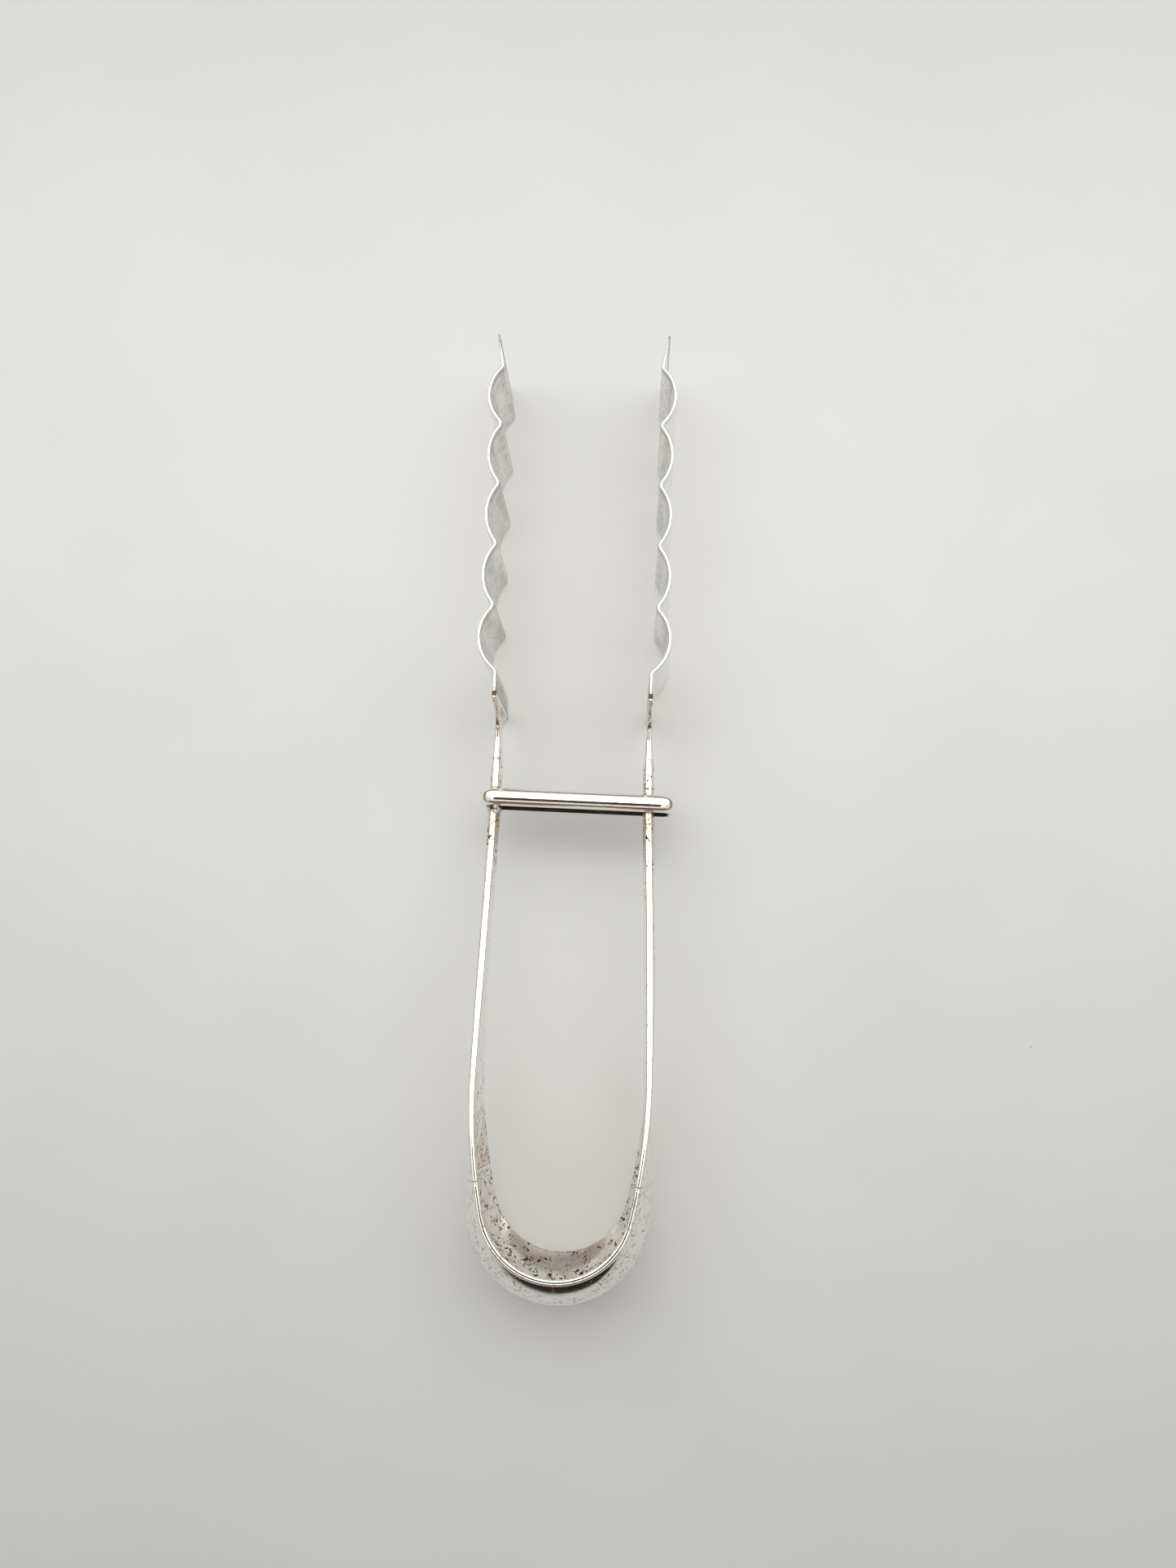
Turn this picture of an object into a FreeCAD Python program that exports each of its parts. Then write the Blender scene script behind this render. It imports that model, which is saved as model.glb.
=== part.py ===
import FreeCAD, Part
import math
import os

# Spring-bow serving tongs in solid silver, lying on their edge.
# Frame: X across the jaws, Y from the bow (-Y) to the blade tips (+Y), Z up, in millimetres.
# Origin: under the middle of the bridge loop, on the surface that the blades' edges rest on.
# The right arm is built on the +X side, and the left arm is its mirror image.

Vector = FreeCAD.Vector

# ---------------------------------------------------------------- driving dimensions (mm, degrees)
# Line of the arms, on the middle of the metal's thickness. "From the bow" starts at the bow's middle.
WIDEST_HALF_SPREAD = 22.5
WIDEST_FROM_BOW = 48.0
BOW_SWELL = 3.5
ARM_DRAW_IN = 1.9
SHANK_END_FROM_BOW = 146.0
LOOP_FROM_SHANK_END = 25.7

# Spring bow: a dished strip that narrows and thickens into the shank.
BOW_WIDTH = 29.0
BOW_THICKNESS = 1.8
BOW_DISH = 7.9
BOW_DISH_LENGTH = 58.0
BOW_END = 33.3
FACE_CROWN = 0.12

# Shank: distances along the arm from the middle of the bow.
SHANK_WIDTH = 6.8
SHANK_THICKNESS = 3.1
SHANK_CROWN = 0.4
NARROWING_START = 20.0
NARROWING_END = 105.0
THICKENING_START = 36.0
THICKENING_END = 92.0
THINNING_LENGTH = 20.0
SHANK_END_THICKNESS = 1.3

# Spade at the shank's end, which carries the whole width of the blade.
SPADE_THICKNESS = 1.1
SPADE_EDGE = 0.6
SPADE_SLOPE = 2.4
SPADE_ROOT = 7.0
SPADE_WIDTH_CUT = 0.2

# Scalloped blade.
BLADE_WIDTH = 31.0
BLADE_THICKNESS = 1.1
CREST_STEP_OUT = 1.5
LOBE_PITCH = 17.16
LOBE_DEPTHS = [3.3, 2.9, 2.8, 2.9, 3.5]
CREST_RADIUS = 1.5
NECK_RADIUS = 2.0
NECK_LENGTH = 4.8
TIP_LENGTH = 9.4
TIP_LEAN = 9.5
TIP_THICKNESS = 0.55
TIP_CORNER_RADIUS = 1.6
BLADE_EDGE_RADIUS = 0.2

# Bridge loop: half-round wire bent into a flat ring, soldered to the left shank.
LOOP_WIRE_WIDTH = 4.8
LOOP_WIRE_THICKNESS = 2.5
LOOP_WIRE_FLAT = 0.6
LOOP_WIRE_WALL = 0.4
LOOP_BEND_RADIUS = 4.5
LOOP_TILT = 1.1
LOOP_SHANK_CLEARANCE = 0.45
LOOP_FREE_PLAY = 3.6
LOOP_INNER_CORNER = 2.0

# Solder.
BOW_SOLDER_LENGTH = 0.4
BOW_SOLDER_PROUD = 0.06
BLADE_SOLDER_LENGTH = 1.2
BLADE_SOLDER_RECESS = 0.15
LOOP_SOLDER_GAP = 0.1
LOOP_SOLDER_ABOVE = 0.9
LOOP_SOLDER_BELOW = 1.3

# Sections that the arm's surfaces run through, and how far a rim's poles stand out to round it.
BOW_SECTIONS = 21
SHANK_SECTIONS = 27
SOLDER_SECTIONS = 3
ROUND_RIM_POLE = 4 / 3

# ---------------------------------------------------------------- derived places
BOW_RADIUS = WIDEST_HALF_SPREAD - BOW_SWELL
HEEL_HALF_SPREAD = WIDEST_HALF_SPREAD - ARM_DRAW_IN
CREST_HALF_SPREAD = HEEL_HALF_SPREAD + CREST_STEP_OUT
LOOP_FROM_BOW = SHANK_END_FROM_BOW - LOOP_FROM_SHANK_END
SHANK_END = LOOP_FROM_SHANK_END
BLADE_HEEL = SHANK_END + BLADE_SOLDER_LENGTH
MID_HEIGHT = max(BLADE_WIDTH, BOW_WIDTH) / 2
BLADE_LOW = MID_HEIGHT - BLADE_WIDTH / 2
BLADE_HIGH = MID_HEIGHT + BLADE_WIDTH / 2


def ease(x, start, end, low, high):
    """Goes smoothly from low at start to high at end, and is level outside them."""
    share = min(1.0, max(0.0, (x - start) / (end - start)))
    return low + (high - low) * (1 - math.cos(math.pi * share)) / 2


# ---------------------------------------------------------------- line of the arm
def arm_arcs():
    """The arm's arcs as (signed radius, turn): positive turns towards the other arm."""
    rise = WIDEST_FROM_BOW - BOW_RADIUS
    swell = WIDEST_HALF_SPREAD - BOW_RADIUS
    bow_turn = 2 * (math.atan(rise / swell) - math.pi / 4)
    side_radius = BOW_RADIUS + rise / math.cos(bow_turn)
    run = SHANK_END_FROM_BOW - WIDEST_FROM_BOW
    drop = WIDEST_HALF_SPREAD - HEEL_HALF_SPREAD
    lean = 2 * math.atan(drop / run)
    lean_radius = run / 2 / math.sin(lean)
    return [
        (BOW_RADIUS, bow_turn),
        (side_radius, math.pi / 2 - bow_turn),
        (lean_radius, lean),
        (-lean_radius, lean),
    ]


def arm_length():
    return sum(abs(radius) * turn for radius, turn in arm_arcs())


def arm_point(distance):
    """Place and heading at a distance along the arm, on the right for a positive one."""
    left = abs(distance)
    x, y, heading = 0.0, -LOOP_FROM_BOW, 0.0
    for radius, turn in arm_arcs():
        share = min(1.0, left / (abs(radius) * turn))
        side = math.copysign(1.0, radius)
        after = heading + side * turn * share
        x += radius * (math.sin(after) - math.sin(heading))
        y += radius * (math.cos(heading) - math.cos(after))
        heading = after
        left -= abs(radius) * turn * share
        if left <= 0:
            break
    if distance < 0:
        return -x, y, -heading
    return x, y, heading


def distance_at(from_bow):
    """Distance along the arm at which it is this far from the bow, by halving."""
    low, high = 0.0, arm_length()
    while high - low > 1e-6:
        middle = (low + high) / 2
        if arm_point(middle)[1] + LOOP_FROM_BOW < from_bow:
            low = middle
        else:
            high = middle
    return (low + high) / 2


# ---------------------------------------------------------------- sections of the arm
def arm_section(distance, proud=0.0):
    """Poles of the section across the arm: outer face, upper rim, inner face and lower rim."""
    length = arm_length()
    along = abs(distance)
    half_width = ease(along, NARROWING_START, NARROWING_END, BOW_WIDTH / 2, SHANK_WIDTH / 2) + proud
    thickness = ease(along, THICKENING_START, THICKENING_END, BOW_THICKNESS, SHANK_THICKNESS)
    thinning_start = length - THINNING_LENGTH
    end_share = ease(along, thinning_start, length, 1.0, SHANK_END_THICKNESS / SHANK_THICKNESS)
    crown = ease(along, NARROWING_START, NARROWING_END, FACE_CROWN, SHANK_CROWN) * end_share
    rim = (thickness * end_share - 2 * crown) / 2 + proud
    dish = ease(along, 0.0, BOW_DISH_LENGTH, BOW_DISH, 0.0)
    x, y, heading = arm_point(distance)
    outward = Vector(math.sin(heading), -math.cos(heading), 0)
    flat = half_width - rim
    round_pole = flat + rim * ROUND_RIM_POLE

    def place(out, up):
        return Vector(x, y, MID_HEIGHT + up) + outward * out

    return [
        [place(rim, -flat), place(rim + 2 * (dish + crown), 0), place(rim, flat)],
        [place(rim, flat), place(rim, round_pole), place(-rim, round_pole), place(-rim, flat)],
        [place(-rim, flat), place(-rim + 2 * (dish - crown), 0), place(-rim, -flat)],
        [place(-rim, -flat), place(-rim, -round_pole), place(rim, -round_pole), place(rim, -flat)],
    ]


def section_cap(section):
    """Flat face that closes the arm at a section."""
    edges = []
    for poles in section:
        curve = Part.BezierCurve()
        curve.setPoles(poles)
        edges.append(curve.toShape())
    return Part.Face(Part.Wire(edges))


def spline_strip(rows):
    """Surface that is a Bezier curve across and a smooth spline along, through rows of poles."""
    curves = []
    for row in rows:
        curve = Part.BSplineCurve()
        curve.interpolate(Points=row, Parameters=[float(i) for i in range(len(row))])
        curves.append(curve)
    across = len(rows)
    surface = Part.BSplineSurface()
    surface.buildFromPolesMultsKnots(
        [curve.getPoles() for curve in curves],
        [across, across], curves[0].getMultiplicities(),
        [0.0, 1.0], curves[0].getKnots(),
        False, False, across - 1, curves[0].Degree,
    )
    return surface.toShape()


def arm_solid(start, end, count, proud=0.0):
    """Solid arm between two distances from the middle of the bow, through count sections."""
    step = (end - start) / (count - 1)
    sections = [arm_section(start + step * i, proud) for i in range(count)]
    faces = [section_cap(sections[0]), section_cap(sections[-1])]
    for strip in range(len(sections[0])):
        poles_across = range(len(sections[0][strip]))
        faces.append(spline_strip([[s[strip][i] for s in sections] for i in poles_across]))
    shell = Part.makeShell(faces)
    shell.sewShape()
    solid = Part.makeSolid(shell)
    if solid.Volume < 0:
        solid.reverse()
    return solid


# ---------------------------------------------------------------- bow and shanks
def spring_bow():
    return arm_solid(-BOW_END, BOW_END, BOW_SECTIONS)


def bow_solder():
    end = BOW_END + BOW_SOLDER_LENGTH
    return arm_solid(BOW_END, end, SOLDER_SECTIONS, BOW_SOLDER_PROUD)


def spade():
    """Flat shoulder that spreads the rod's end out to the width of the blade."""
    half = BLADE_WIDTH / 2 - SPADE_WIDTH_CUT
    rod = SHANK_WIDTH / 2 - SHANK_CROWN
    corner = SHANK_END - SPADE_EDGE
    foot = corner - SPADE_SLOPE
    root = foot - SPADE_ROOT
    x = HEEL_HALF_SPREAD - SPADE_THICKNESS / 2

    def at(y, up):
        return Vector(x, y, MID_HEIGHT + up)

    def shoulder(side):
        bend = Part.BezierCurve()
        bend.setPoles([at(corner, half * side), at(foot, rod * side), at(root, rod * side)])
        return bend.toShape()

    edges = [
        Part.LineSegment(at(SHANK_END, -half), at(SHANK_END, half)).toShape(),
        Part.LineSegment(at(SHANK_END, half), at(corner, half)).toShape(),
        shoulder(1),
        Part.LineSegment(at(root, rod), at(root, -rod)).toShape(),
        shoulder(-1),
        Part.LineSegment(at(corner, -half), at(SHANK_END, -half)).toShape(),
    ]
    outline = Part.Wire(Part.__sortEdges__(edges))
    return Part.Face(outline).extrude(Vector(SPADE_THICKNESS, 0, 0))


def shank():
    start = BOW_END + BOW_SOLDER_LENGTH
    rod = arm_solid(start, arm_length(), SHANK_SECTIONS)
    return rod.fuse(spade()).removeSplitter()


def blade_solder():
    """Seam of solder between the spade and the blade's heel."""
    thickness = BLADE_THICKNESS - 2 * BLADE_SOLDER_RECESS
    width = BLADE_WIDTH - 2 * (SPADE_WIDTH_CUT + BLADE_SOLDER_RECESS)
    corner = Vector(HEEL_HALF_SPREAD - thickness / 2, SHANK_END, MID_HEIGHT - width / 2)
    return Part.makeBox(thickness, BLADE_SOLDER_LENGTH, width, corner)


# ---------------------------------------------------------------- scalloped blade
def blade_path():
    """Middle line of the sheet, as headings and signed arc radii from heel to tip.

    Each entry is (centre x, centre y, radius, start heading, end heading). The heading is
    measured from +Y, positive outwards. A crest bends inwards and a lobe bends outwards.
    """
    lobe_x = CREST_HALF_SPREAD + LOBE_DEPTHS[0]
    lobe_sum = ((LOBE_PITCH / 2) ** 2 + LOBE_DEPTHS[0] ** 2) / (2 * LOBE_DEPTHS[0])
    lobe_radius = lobe_sum - CREST_RADIUS
    neck_depth = lobe_x - HEEL_HALF_SPREAD
    neck_sum = lobe_radius + NECK_RADIUS
    neck_run = math.sqrt(2 * neck_depth * neck_sum - neck_depth ** 2)
    neck_turn = math.asin(neck_run / neck_sum)
    neck_y = BLADE_HEEL + NECK_LENGTH
    lobe_y = neck_y + neck_run
    arcs = [(HEEL_HALF_SPREAD + NECK_RADIUS, neck_y, NECK_RADIUS, 0.0, neck_turn)]
    turn_in = neck_turn
    for i, depth in enumerate(LOBE_DEPTHS):
        arc_sum = ((LOBE_PITCH / 2) ** 2 + depth ** 2) / (2 * depth)
        radius = arc_sum - CREST_RADIUS
        turn = math.asin(LOBE_PITCH / 2 / arc_sum)
        y = lobe_y + i * LOBE_PITCH
        if i > 0:
            crest_y = y - LOBE_PITCH / 2
            arcs.append((CREST_HALF_SPREAD + CREST_RADIUS, crest_y, CREST_RADIUS, -turn_in, turn))
        start = turn if i > 0 else neck_turn
        arcs.append((CREST_HALF_SPREAD + depth - radius, y, -radius, start, -turn))
        turn_in = turn
    last_y = lobe_y + (len(LOBE_DEPTHS) - 0.5) * LOBE_PITCH
    tip_turn = math.radians(TIP_LEAN)
    arcs.append((CREST_HALF_SPREAD + CREST_RADIUS, last_y, CREST_RADIUS, -turn_in, tip_turn))
    return arcs


def blade_side(side):
    """Edges of one face of the sheet, from heel to tip: side is 1 outside and -1 inside."""
    half = BLADE_THICKNESS / 2 * side

    def on_arc(arc, heading):
        x, y, radius = arc[0], arc[1], arc[2]
        reach = half - radius
        return Vector(x + reach * math.cos(heading), y - reach * math.sin(heading), BLADE_LOW)

    arcs = blade_path()
    first = on_arc(arcs[0], 0.0)
    heel = Vector(first.x, BLADE_HEEL, BLADE_LOW)
    edges = [Part.LineSegment(heel, first).toShape()]
    for arc in arcs:
        middle = (arc[3] + arc[4]) / 2
        points = [on_arc(arc, arc[3]), on_arc(arc, middle), on_arc(arc, arc[4])]
        edges.append(Part.Arc(*points).toShape())
    lean = arcs[-1][4]
    along = Vector(math.sin(lean), math.cos(lean), 0)
    outward = Vector(math.cos(lean), -math.sin(lean), 0)
    start = on_arc(arcs[-1], lean)
    thinning = outward * (side * (BLADE_THICKNESS - TIP_THICKNESS) / 2)
    end = start + along * (TIP_LENGTH - TIP_THICKNESS / 2) - thinning
    edges.append(Part.LineSegment(start, end).toShape())
    return edges, heel, end, along


def blade():
    outside, outer_heel, outer_end, along = blade_side(1)
    inside, inner_heel, inner_end, along = blade_side(-1)
    tip = (outer_end + inner_end) * 0.5 + along * (TIP_THICKNESS / 2)
    edges = outside + [Part.Arc(outer_end, tip, inner_end).toShape()]
    edges += inside + [Part.LineSegment(inner_heel, outer_heel).toShape()]
    outline = Part.Wire(Part.__sortEdges__(edges))
    sheet = Part.Face(outline).extrude(Vector(0, 0, BLADE_WIDTH))
    sheet = sheet.common(blade_envelope(tip))
    return round_long_edges(sheet)


def blade_envelope(tip):
    """Rectangle with its tip corners rounded, seen from the side, that trims the sheet."""
    reach = CREST_HALF_SPREAD + 2 * max(LOBE_DEPTHS)
    block = Part.makeBox(reach, tip.y - BLADE_HEEL, BLADE_WIDTH, Vector(0, BLADE_HEEL, BLADE_LOW))
    corners = [
        e for e in block.Edges
        if abs(e.CenterOfMass.y - tip.y) < 1e-6 and e.BoundBox.XLength > reach / 2
    ]
    return block.makeFillet(TIP_CORNER_RADIUS, corners)


def round_long_edges(sheet):
    """Takes the sharp corner off the two wavy edges of the sheet."""
    edges = []
    for edge in sheet.Edges:
        box = edge.BoundBox
        at_face = box.ZMax < BLADE_LOW + 1e-6 or box.ZMin > BLADE_HIGH - 1e-6
        clear_of_tip = box.YMax < sheet.BoundBox.YMax - TIP_CORNER_RADIUS - 1e-3
        clear_of_heel = box.YLength > BLADE_THICKNESS / 2
        if at_face and clear_of_tip and clear_of_heel:
            edges.append(edge)
    return sheet.makeFillet(BLADE_EDGE_RADIUS, edges)


# ---------------------------------------------------------------- bridge loop
def shank_half_spread_at_loop():
    return arm_point(distance_at(LOOP_FROM_BOW))[0]


def loop_limits():
    """Inner ends of the slot: the left one at the soldered shank, the right one past the free one."""
    outer_face = shank_half_spread_at_loop() + SHANK_THICKNESS / 2
    return -outer_face - LOOP_SOLDER_GAP, outer_face + LOOP_FREE_PLAY


def rounded_bar(x_low, x_high, half_height, corner):
    """Bar along Y with a rounded rectangular section across it."""
    size = (x_high - x_low, LOOP_WIRE_WIDTH, 2 * half_height)
    start = Vector(x_low, -LOOP_WIRE_WIDTH / 2, MID_HEIGHT - half_height)
    bar = Part.makeBox(*size, start)
    along = [e for e in bar.Edges if e.BoundBox.YLength > LOOP_WIRE_WIDTH / 2]
    return bar.makeFillet(corner, along)


def bridge_loop():
    low, high = loop_limits()
    slot_half = SHANK_WIDTH / 2 + LOOP_SHANK_CLEARANCE
    outer_half = slot_half + LOOP_WIRE_THICKNESS
    outer = rounded_bar(low - LOOP_WIRE_THICKNESS, high + LOOP_WIRE_THICKNESS, outer_half, LOOP_BEND_RADIUS)
    rims = [edge for edge in outer.Edges if edge.BoundBox.YLength < 1e-6]
    wire_round = min((LOOP_WIRE_WIDTH - LOOP_WIRE_FLAT) / 2, LOOP_WIRE_THICKNESS - LOOP_WIRE_WALL)
    outer = outer.makeFillet(wire_round, rims)
    ring = outer.cut(rounded_bar(low, high, slot_half, LOOP_INNER_CORNER))
    centre = Vector(0, 0, MID_HEIGHT)
    return ring.rotate(centre, Vector(0, 0, 1), -LOOP_TILT)


def loop_solder(shank_shape, loop_shape):
    """Collar of solder that fills the slot round the left shank and shows on both sides of the loop."""
    reach = LOOP_WIRE_WIDTH / 2
    start = distance_at(LOOP_FROM_BOW - reach - LOOP_SOLDER_BELOW)
    end = distance_at(LOOP_FROM_BOW + reach + LOOP_SOLDER_ABOVE)
    collar = mirrored(arm_solid(start, end, SOLDER_SECTIONS, LOOP_SHANK_CLEARANCE))
    return collar.cut([shank_shape, loop_shape])


# ---------------------------------------------------------------- assembly
def mirrored(shape):
    return shape.mirror(Vector(0, 0, 0), Vector(1, 0, 0))


def build():
    right_shank = shank()
    left_shank = mirrored(right_shank)
    right_blade = blade()
    loop = bridge_loop()
    return {
        "spring_bow": spring_bow(),
        "left_bow_solder": mirrored(bow_solder()),
        "right_bow_solder": bow_solder(),
        "left_shank": left_shank,
        "right_shank": right_shank,
        "left_blade_solder": mirrored(blade_solder()),
        "right_blade_solder": blade_solder(),
        "left_blade": mirrored(right_blade),
        "right_blade": right_blade,
        "bridge_loop": loop,
        "loop_solder": loop_solder(left_shank, loop),
    }


def main():
    os.makedirs("parts", exist_ok=True)
    for node, shape in build().items():
        print(f"{node}: {len(shape.Solids)} solid, valid {shape.isValid()}, {shape.Volume:.1f} mm3")
        shape.exportStep(f"parts/{node}.step")


main()
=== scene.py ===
"""Spring-bow serving tongs in polished silver, lying on their edge on a pale table.

Every length in a class is in millimetres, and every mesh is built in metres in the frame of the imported
model: X across the jaws, Y from the bow to the blade tips, Z up.
"""

import logging
import math
from dataclasses import dataclass, field
from enum import Enum

import bpy
import numpy as np
from mathutils import Euler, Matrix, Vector, noise


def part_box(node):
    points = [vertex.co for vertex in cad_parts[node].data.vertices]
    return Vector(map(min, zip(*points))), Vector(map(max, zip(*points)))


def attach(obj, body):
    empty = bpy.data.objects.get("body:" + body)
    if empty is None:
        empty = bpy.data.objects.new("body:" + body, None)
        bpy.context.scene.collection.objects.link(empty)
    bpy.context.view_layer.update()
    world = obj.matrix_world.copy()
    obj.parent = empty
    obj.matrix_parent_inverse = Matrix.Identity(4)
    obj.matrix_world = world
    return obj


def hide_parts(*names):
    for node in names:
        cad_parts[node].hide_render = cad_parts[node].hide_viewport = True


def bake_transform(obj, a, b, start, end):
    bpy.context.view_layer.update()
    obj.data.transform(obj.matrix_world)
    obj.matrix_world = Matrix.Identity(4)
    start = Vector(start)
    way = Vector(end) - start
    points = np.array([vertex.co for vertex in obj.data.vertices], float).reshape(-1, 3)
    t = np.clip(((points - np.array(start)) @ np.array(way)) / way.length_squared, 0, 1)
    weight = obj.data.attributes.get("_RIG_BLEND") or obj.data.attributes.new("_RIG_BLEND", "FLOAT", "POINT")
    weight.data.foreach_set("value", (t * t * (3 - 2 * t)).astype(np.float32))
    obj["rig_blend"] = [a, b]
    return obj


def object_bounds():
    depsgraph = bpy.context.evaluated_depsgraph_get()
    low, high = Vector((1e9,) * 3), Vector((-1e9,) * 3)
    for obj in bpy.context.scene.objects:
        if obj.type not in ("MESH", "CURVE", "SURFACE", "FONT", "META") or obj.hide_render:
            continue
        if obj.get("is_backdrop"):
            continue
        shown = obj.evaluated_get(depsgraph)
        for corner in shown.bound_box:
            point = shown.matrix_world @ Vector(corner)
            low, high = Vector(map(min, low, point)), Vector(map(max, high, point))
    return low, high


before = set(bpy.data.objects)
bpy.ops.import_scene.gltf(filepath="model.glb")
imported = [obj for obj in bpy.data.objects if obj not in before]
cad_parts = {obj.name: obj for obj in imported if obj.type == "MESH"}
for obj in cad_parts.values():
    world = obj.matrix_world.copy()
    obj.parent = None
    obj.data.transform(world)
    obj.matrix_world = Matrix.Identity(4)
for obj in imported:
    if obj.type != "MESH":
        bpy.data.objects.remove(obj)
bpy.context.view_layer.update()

MM = 0.001
LOG = logging.getLogger("tongs")
Colour = tuple[float, float, float]
Place = tuple[float, float, float]
Span = tuple[float, float]

# Colour sockets of a Mix node, which come after its number and vector ones.
MIX_FIRST, MIX_SECOND, MIX_RESULT = 6, 7, 2

# Points taken along the sides of an outline before it is softened.
RIM_SAMPLES, FACE_SAMPLES, ARC_SAMPLES, EDGE_SAMPLES, WALL_SAMPLES = 41, 161, 30, 12, 8


# ---------------------------------------------------------------- choices
class Side(Enum):
    """The two arms of the tongs, by the sign of their X."""

    LEFT = -1
    RIGHT = 1

    @property
    def word(self) -> str:
        """Name of the side as the nodes and bodies spell it."""
        return self.name.lower()

    @property
    def body(self) -> str:
        """CAD body that the arm on this side moves with."""
        return f"{self.word}_arm"

    def node(self, piece: str) -> str:
        """Name of the CAD node of a piece that has one on each side."""
        return f"{self.word}_{piece}"


class Slot(Enum):
    """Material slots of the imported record."""

    BOW = "bow_silver"
    SHANK = "shank_silver"
    BLADE = "blade_silver"
    LOOP = "loop_silver"
    SOLDER = "solder"


# ---------------------------------------------------------------- shapes shared by the pieces
def ease(x: np.ndarray | float, start: float, end: float, low: float, high: float) -> np.ndarray | float:
    """Goes smoothly from one level to another, and is level outside the stretch between.

    Args:
        x: Place or places along the stretch.
        start: Where the change starts.
        end: Where it ends.
        low: Level before the start.
        high: Level after the end.

    Returns:
        The level at x.
    """
    share = np.clip((x - start) / (end - start), 0.0, 1.0)
    return low + (high - low) * (1 - np.cos(math.pi * share)) / 2


def swell(where: np.ndarray, middle: float, width: float) -> np.ndarray:
    """Rises to 1 at a middle and dies away over a width on both sides."""
    return np.exp(-((where - middle) / width) ** 2)


def clustered(count: int) -> np.ndarray:
    """Gives shares from 0 up to, but not at, 1 that lie closer together near both ends."""
    return (1 - np.cos(math.pi * np.arange(count) / count)) / 2


def soften(outline: list[np.ndarray], counts: list[int], softness: float) -> np.ndarray:
    """Rounds the corners of a closed outline and samples it, closest together near its corners.

    Args:
        outline: Fine point lists of the outline's sides, in order, each ending where the next starts.
        counts: How many points to take along each side.
        softness: Half the length over which a corner is averaged, in millimetres.

    Returns:
        The points of the softened outline, one row each.
    """
    line = np.vstack([side[:-1] for side in outline] + [outline[0][:1]])
    steps = np.linalg.norm(np.diff(line, axis=0), axis=1)
    along = np.concatenate([[0.0], np.cumsum(steps)])
    total = along[-1]
    area = np.concatenate([[[0.0, 0.0]], np.cumsum((line[1:] + line[:-1]) / 2 * steps[:, None], axis=0)])

    def summed(where: np.ndarray) -> np.ndarray:
        """Adds the outline up from its start to each place, however many times round.

        Args:
            where: Lengths along the outline, in millimetres.

        Returns:
            One row of sums per length.
        """
        turns = np.floor(where / total)
        rest = where - turns * total
        part = np.stack([np.interp(rest, along, area[:, axis]) for axis in range(2)], axis=1)
        return part + turns[:, None] * area[-1]

    places = []
    start = 0.0
    for side, count in zip(outline, counts):
        length = float(np.linalg.norm(np.diff(side, axis=0), axis=1).sum())
        places.append(start + length * clustered(count))
        start += length
    where = np.concatenate(places)
    return (summed(where + softness) - summed(where - softness)) / (2 * softness)


def bezier(poles: list[tuple[float, float]], count: int) -> np.ndarray:
    """Gives points along a Bezier curve of any degree.

    Args:
        poles: Its poles, of which the first and last are its ends.
        count: How many points to take, both ends included.

    Returns:
        The points, one row each.
    """
    share = np.linspace(0.0, 1.0, count)[:, None]
    degree = len(poles) - 1
    points = np.zeros((count, 2))
    for i, pole in enumerate(poles):
        points += math.comb(degree, i) * share**i * (1 - share) ** (degree - i) * np.array(pole)
    return points


@dataclass
class Sweep:
    """A closed outline carried along a line, which makes a skin of quads.

    Attributes:
        name: Name of the piece.
        rings: One list of points per station, in millimetres, each starting at the middle of one rim.
        closed: Whether the last station joins the first one again.
    """

    name: str
    rings: list[np.ndarray]
    closed: bool = False

    def quads(self) -> list[tuple[int, ...]]:
        """Faces of the sides.

        Returns:
            Tuples of point numbers.
        """
        count = len(self.rings)
        around = len(self.rings[0])
        faces = []
        for i in range(count if self.closed else count - 1):
            here, there = i * around, (i + 1) % count * around
            for j in range(around):
                k = (j + 1) % around
                faces.append((here + j, here + k, there + k, there + j))
        return faces

    def end_faces(self) -> list[tuple[int, ...]]:
        """Faces that close the ends, laid as rungs between the two faces of the outline.

        Returns:
            Tuples of point numbers, and none where the line is closed.
        """
        if self.closed:
            return []
        around = len(self.rings[0])
        last = (len(self.rings) - 1) * around
        faces = []
        for k in range(around // 2):
            rung = [k, k + 1, (around - k - 1) % around, (around - k) % around]
            unique = list(dict.fromkeys(rung))
            faces.append(tuple(reversed(unique)))
            faces.append(tuple(last + i for i in unique))
        return faces

    def build(self, patina: np.ndarray) -> bpy.types.Object:
        """Makes the mesh object.

        Args:
            patina: How readily tarnish holds at each point, from 0 to 1, ring by ring; on the loop it also marks
                painted shade.

        Returns:
            The new object, linked to the scene.
        """
        points = np.vstack(self.rings) * MM
        sides, ends = self.quads(), self.end_faces()
        mesh = bpy.data.meshes.new(self.name)
        mesh.from_pydata(points.tolist(), [], sides + ends)
        mesh.polygons.foreach_set("use_smooth", [True] * len(sides) + [False] * len(ends))
        store_patina(mesh, patina)
        return link_outward(self.name, mesh)


def store_patina(mesh: bpy.types.Mesh, patina: np.ndarray) -> None:
    """Writes the tarnish share of each point into the mesh, for the silver finishes to read."""
    # On the loop this share also marks painted shade.
    attribute = mesh.attributes.new("patina", "FLOAT", "POINT")
    attribute.data.foreach_set("value", np.clip(patina, 0.0, 1.0).astype(np.float32).ravel())


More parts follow.
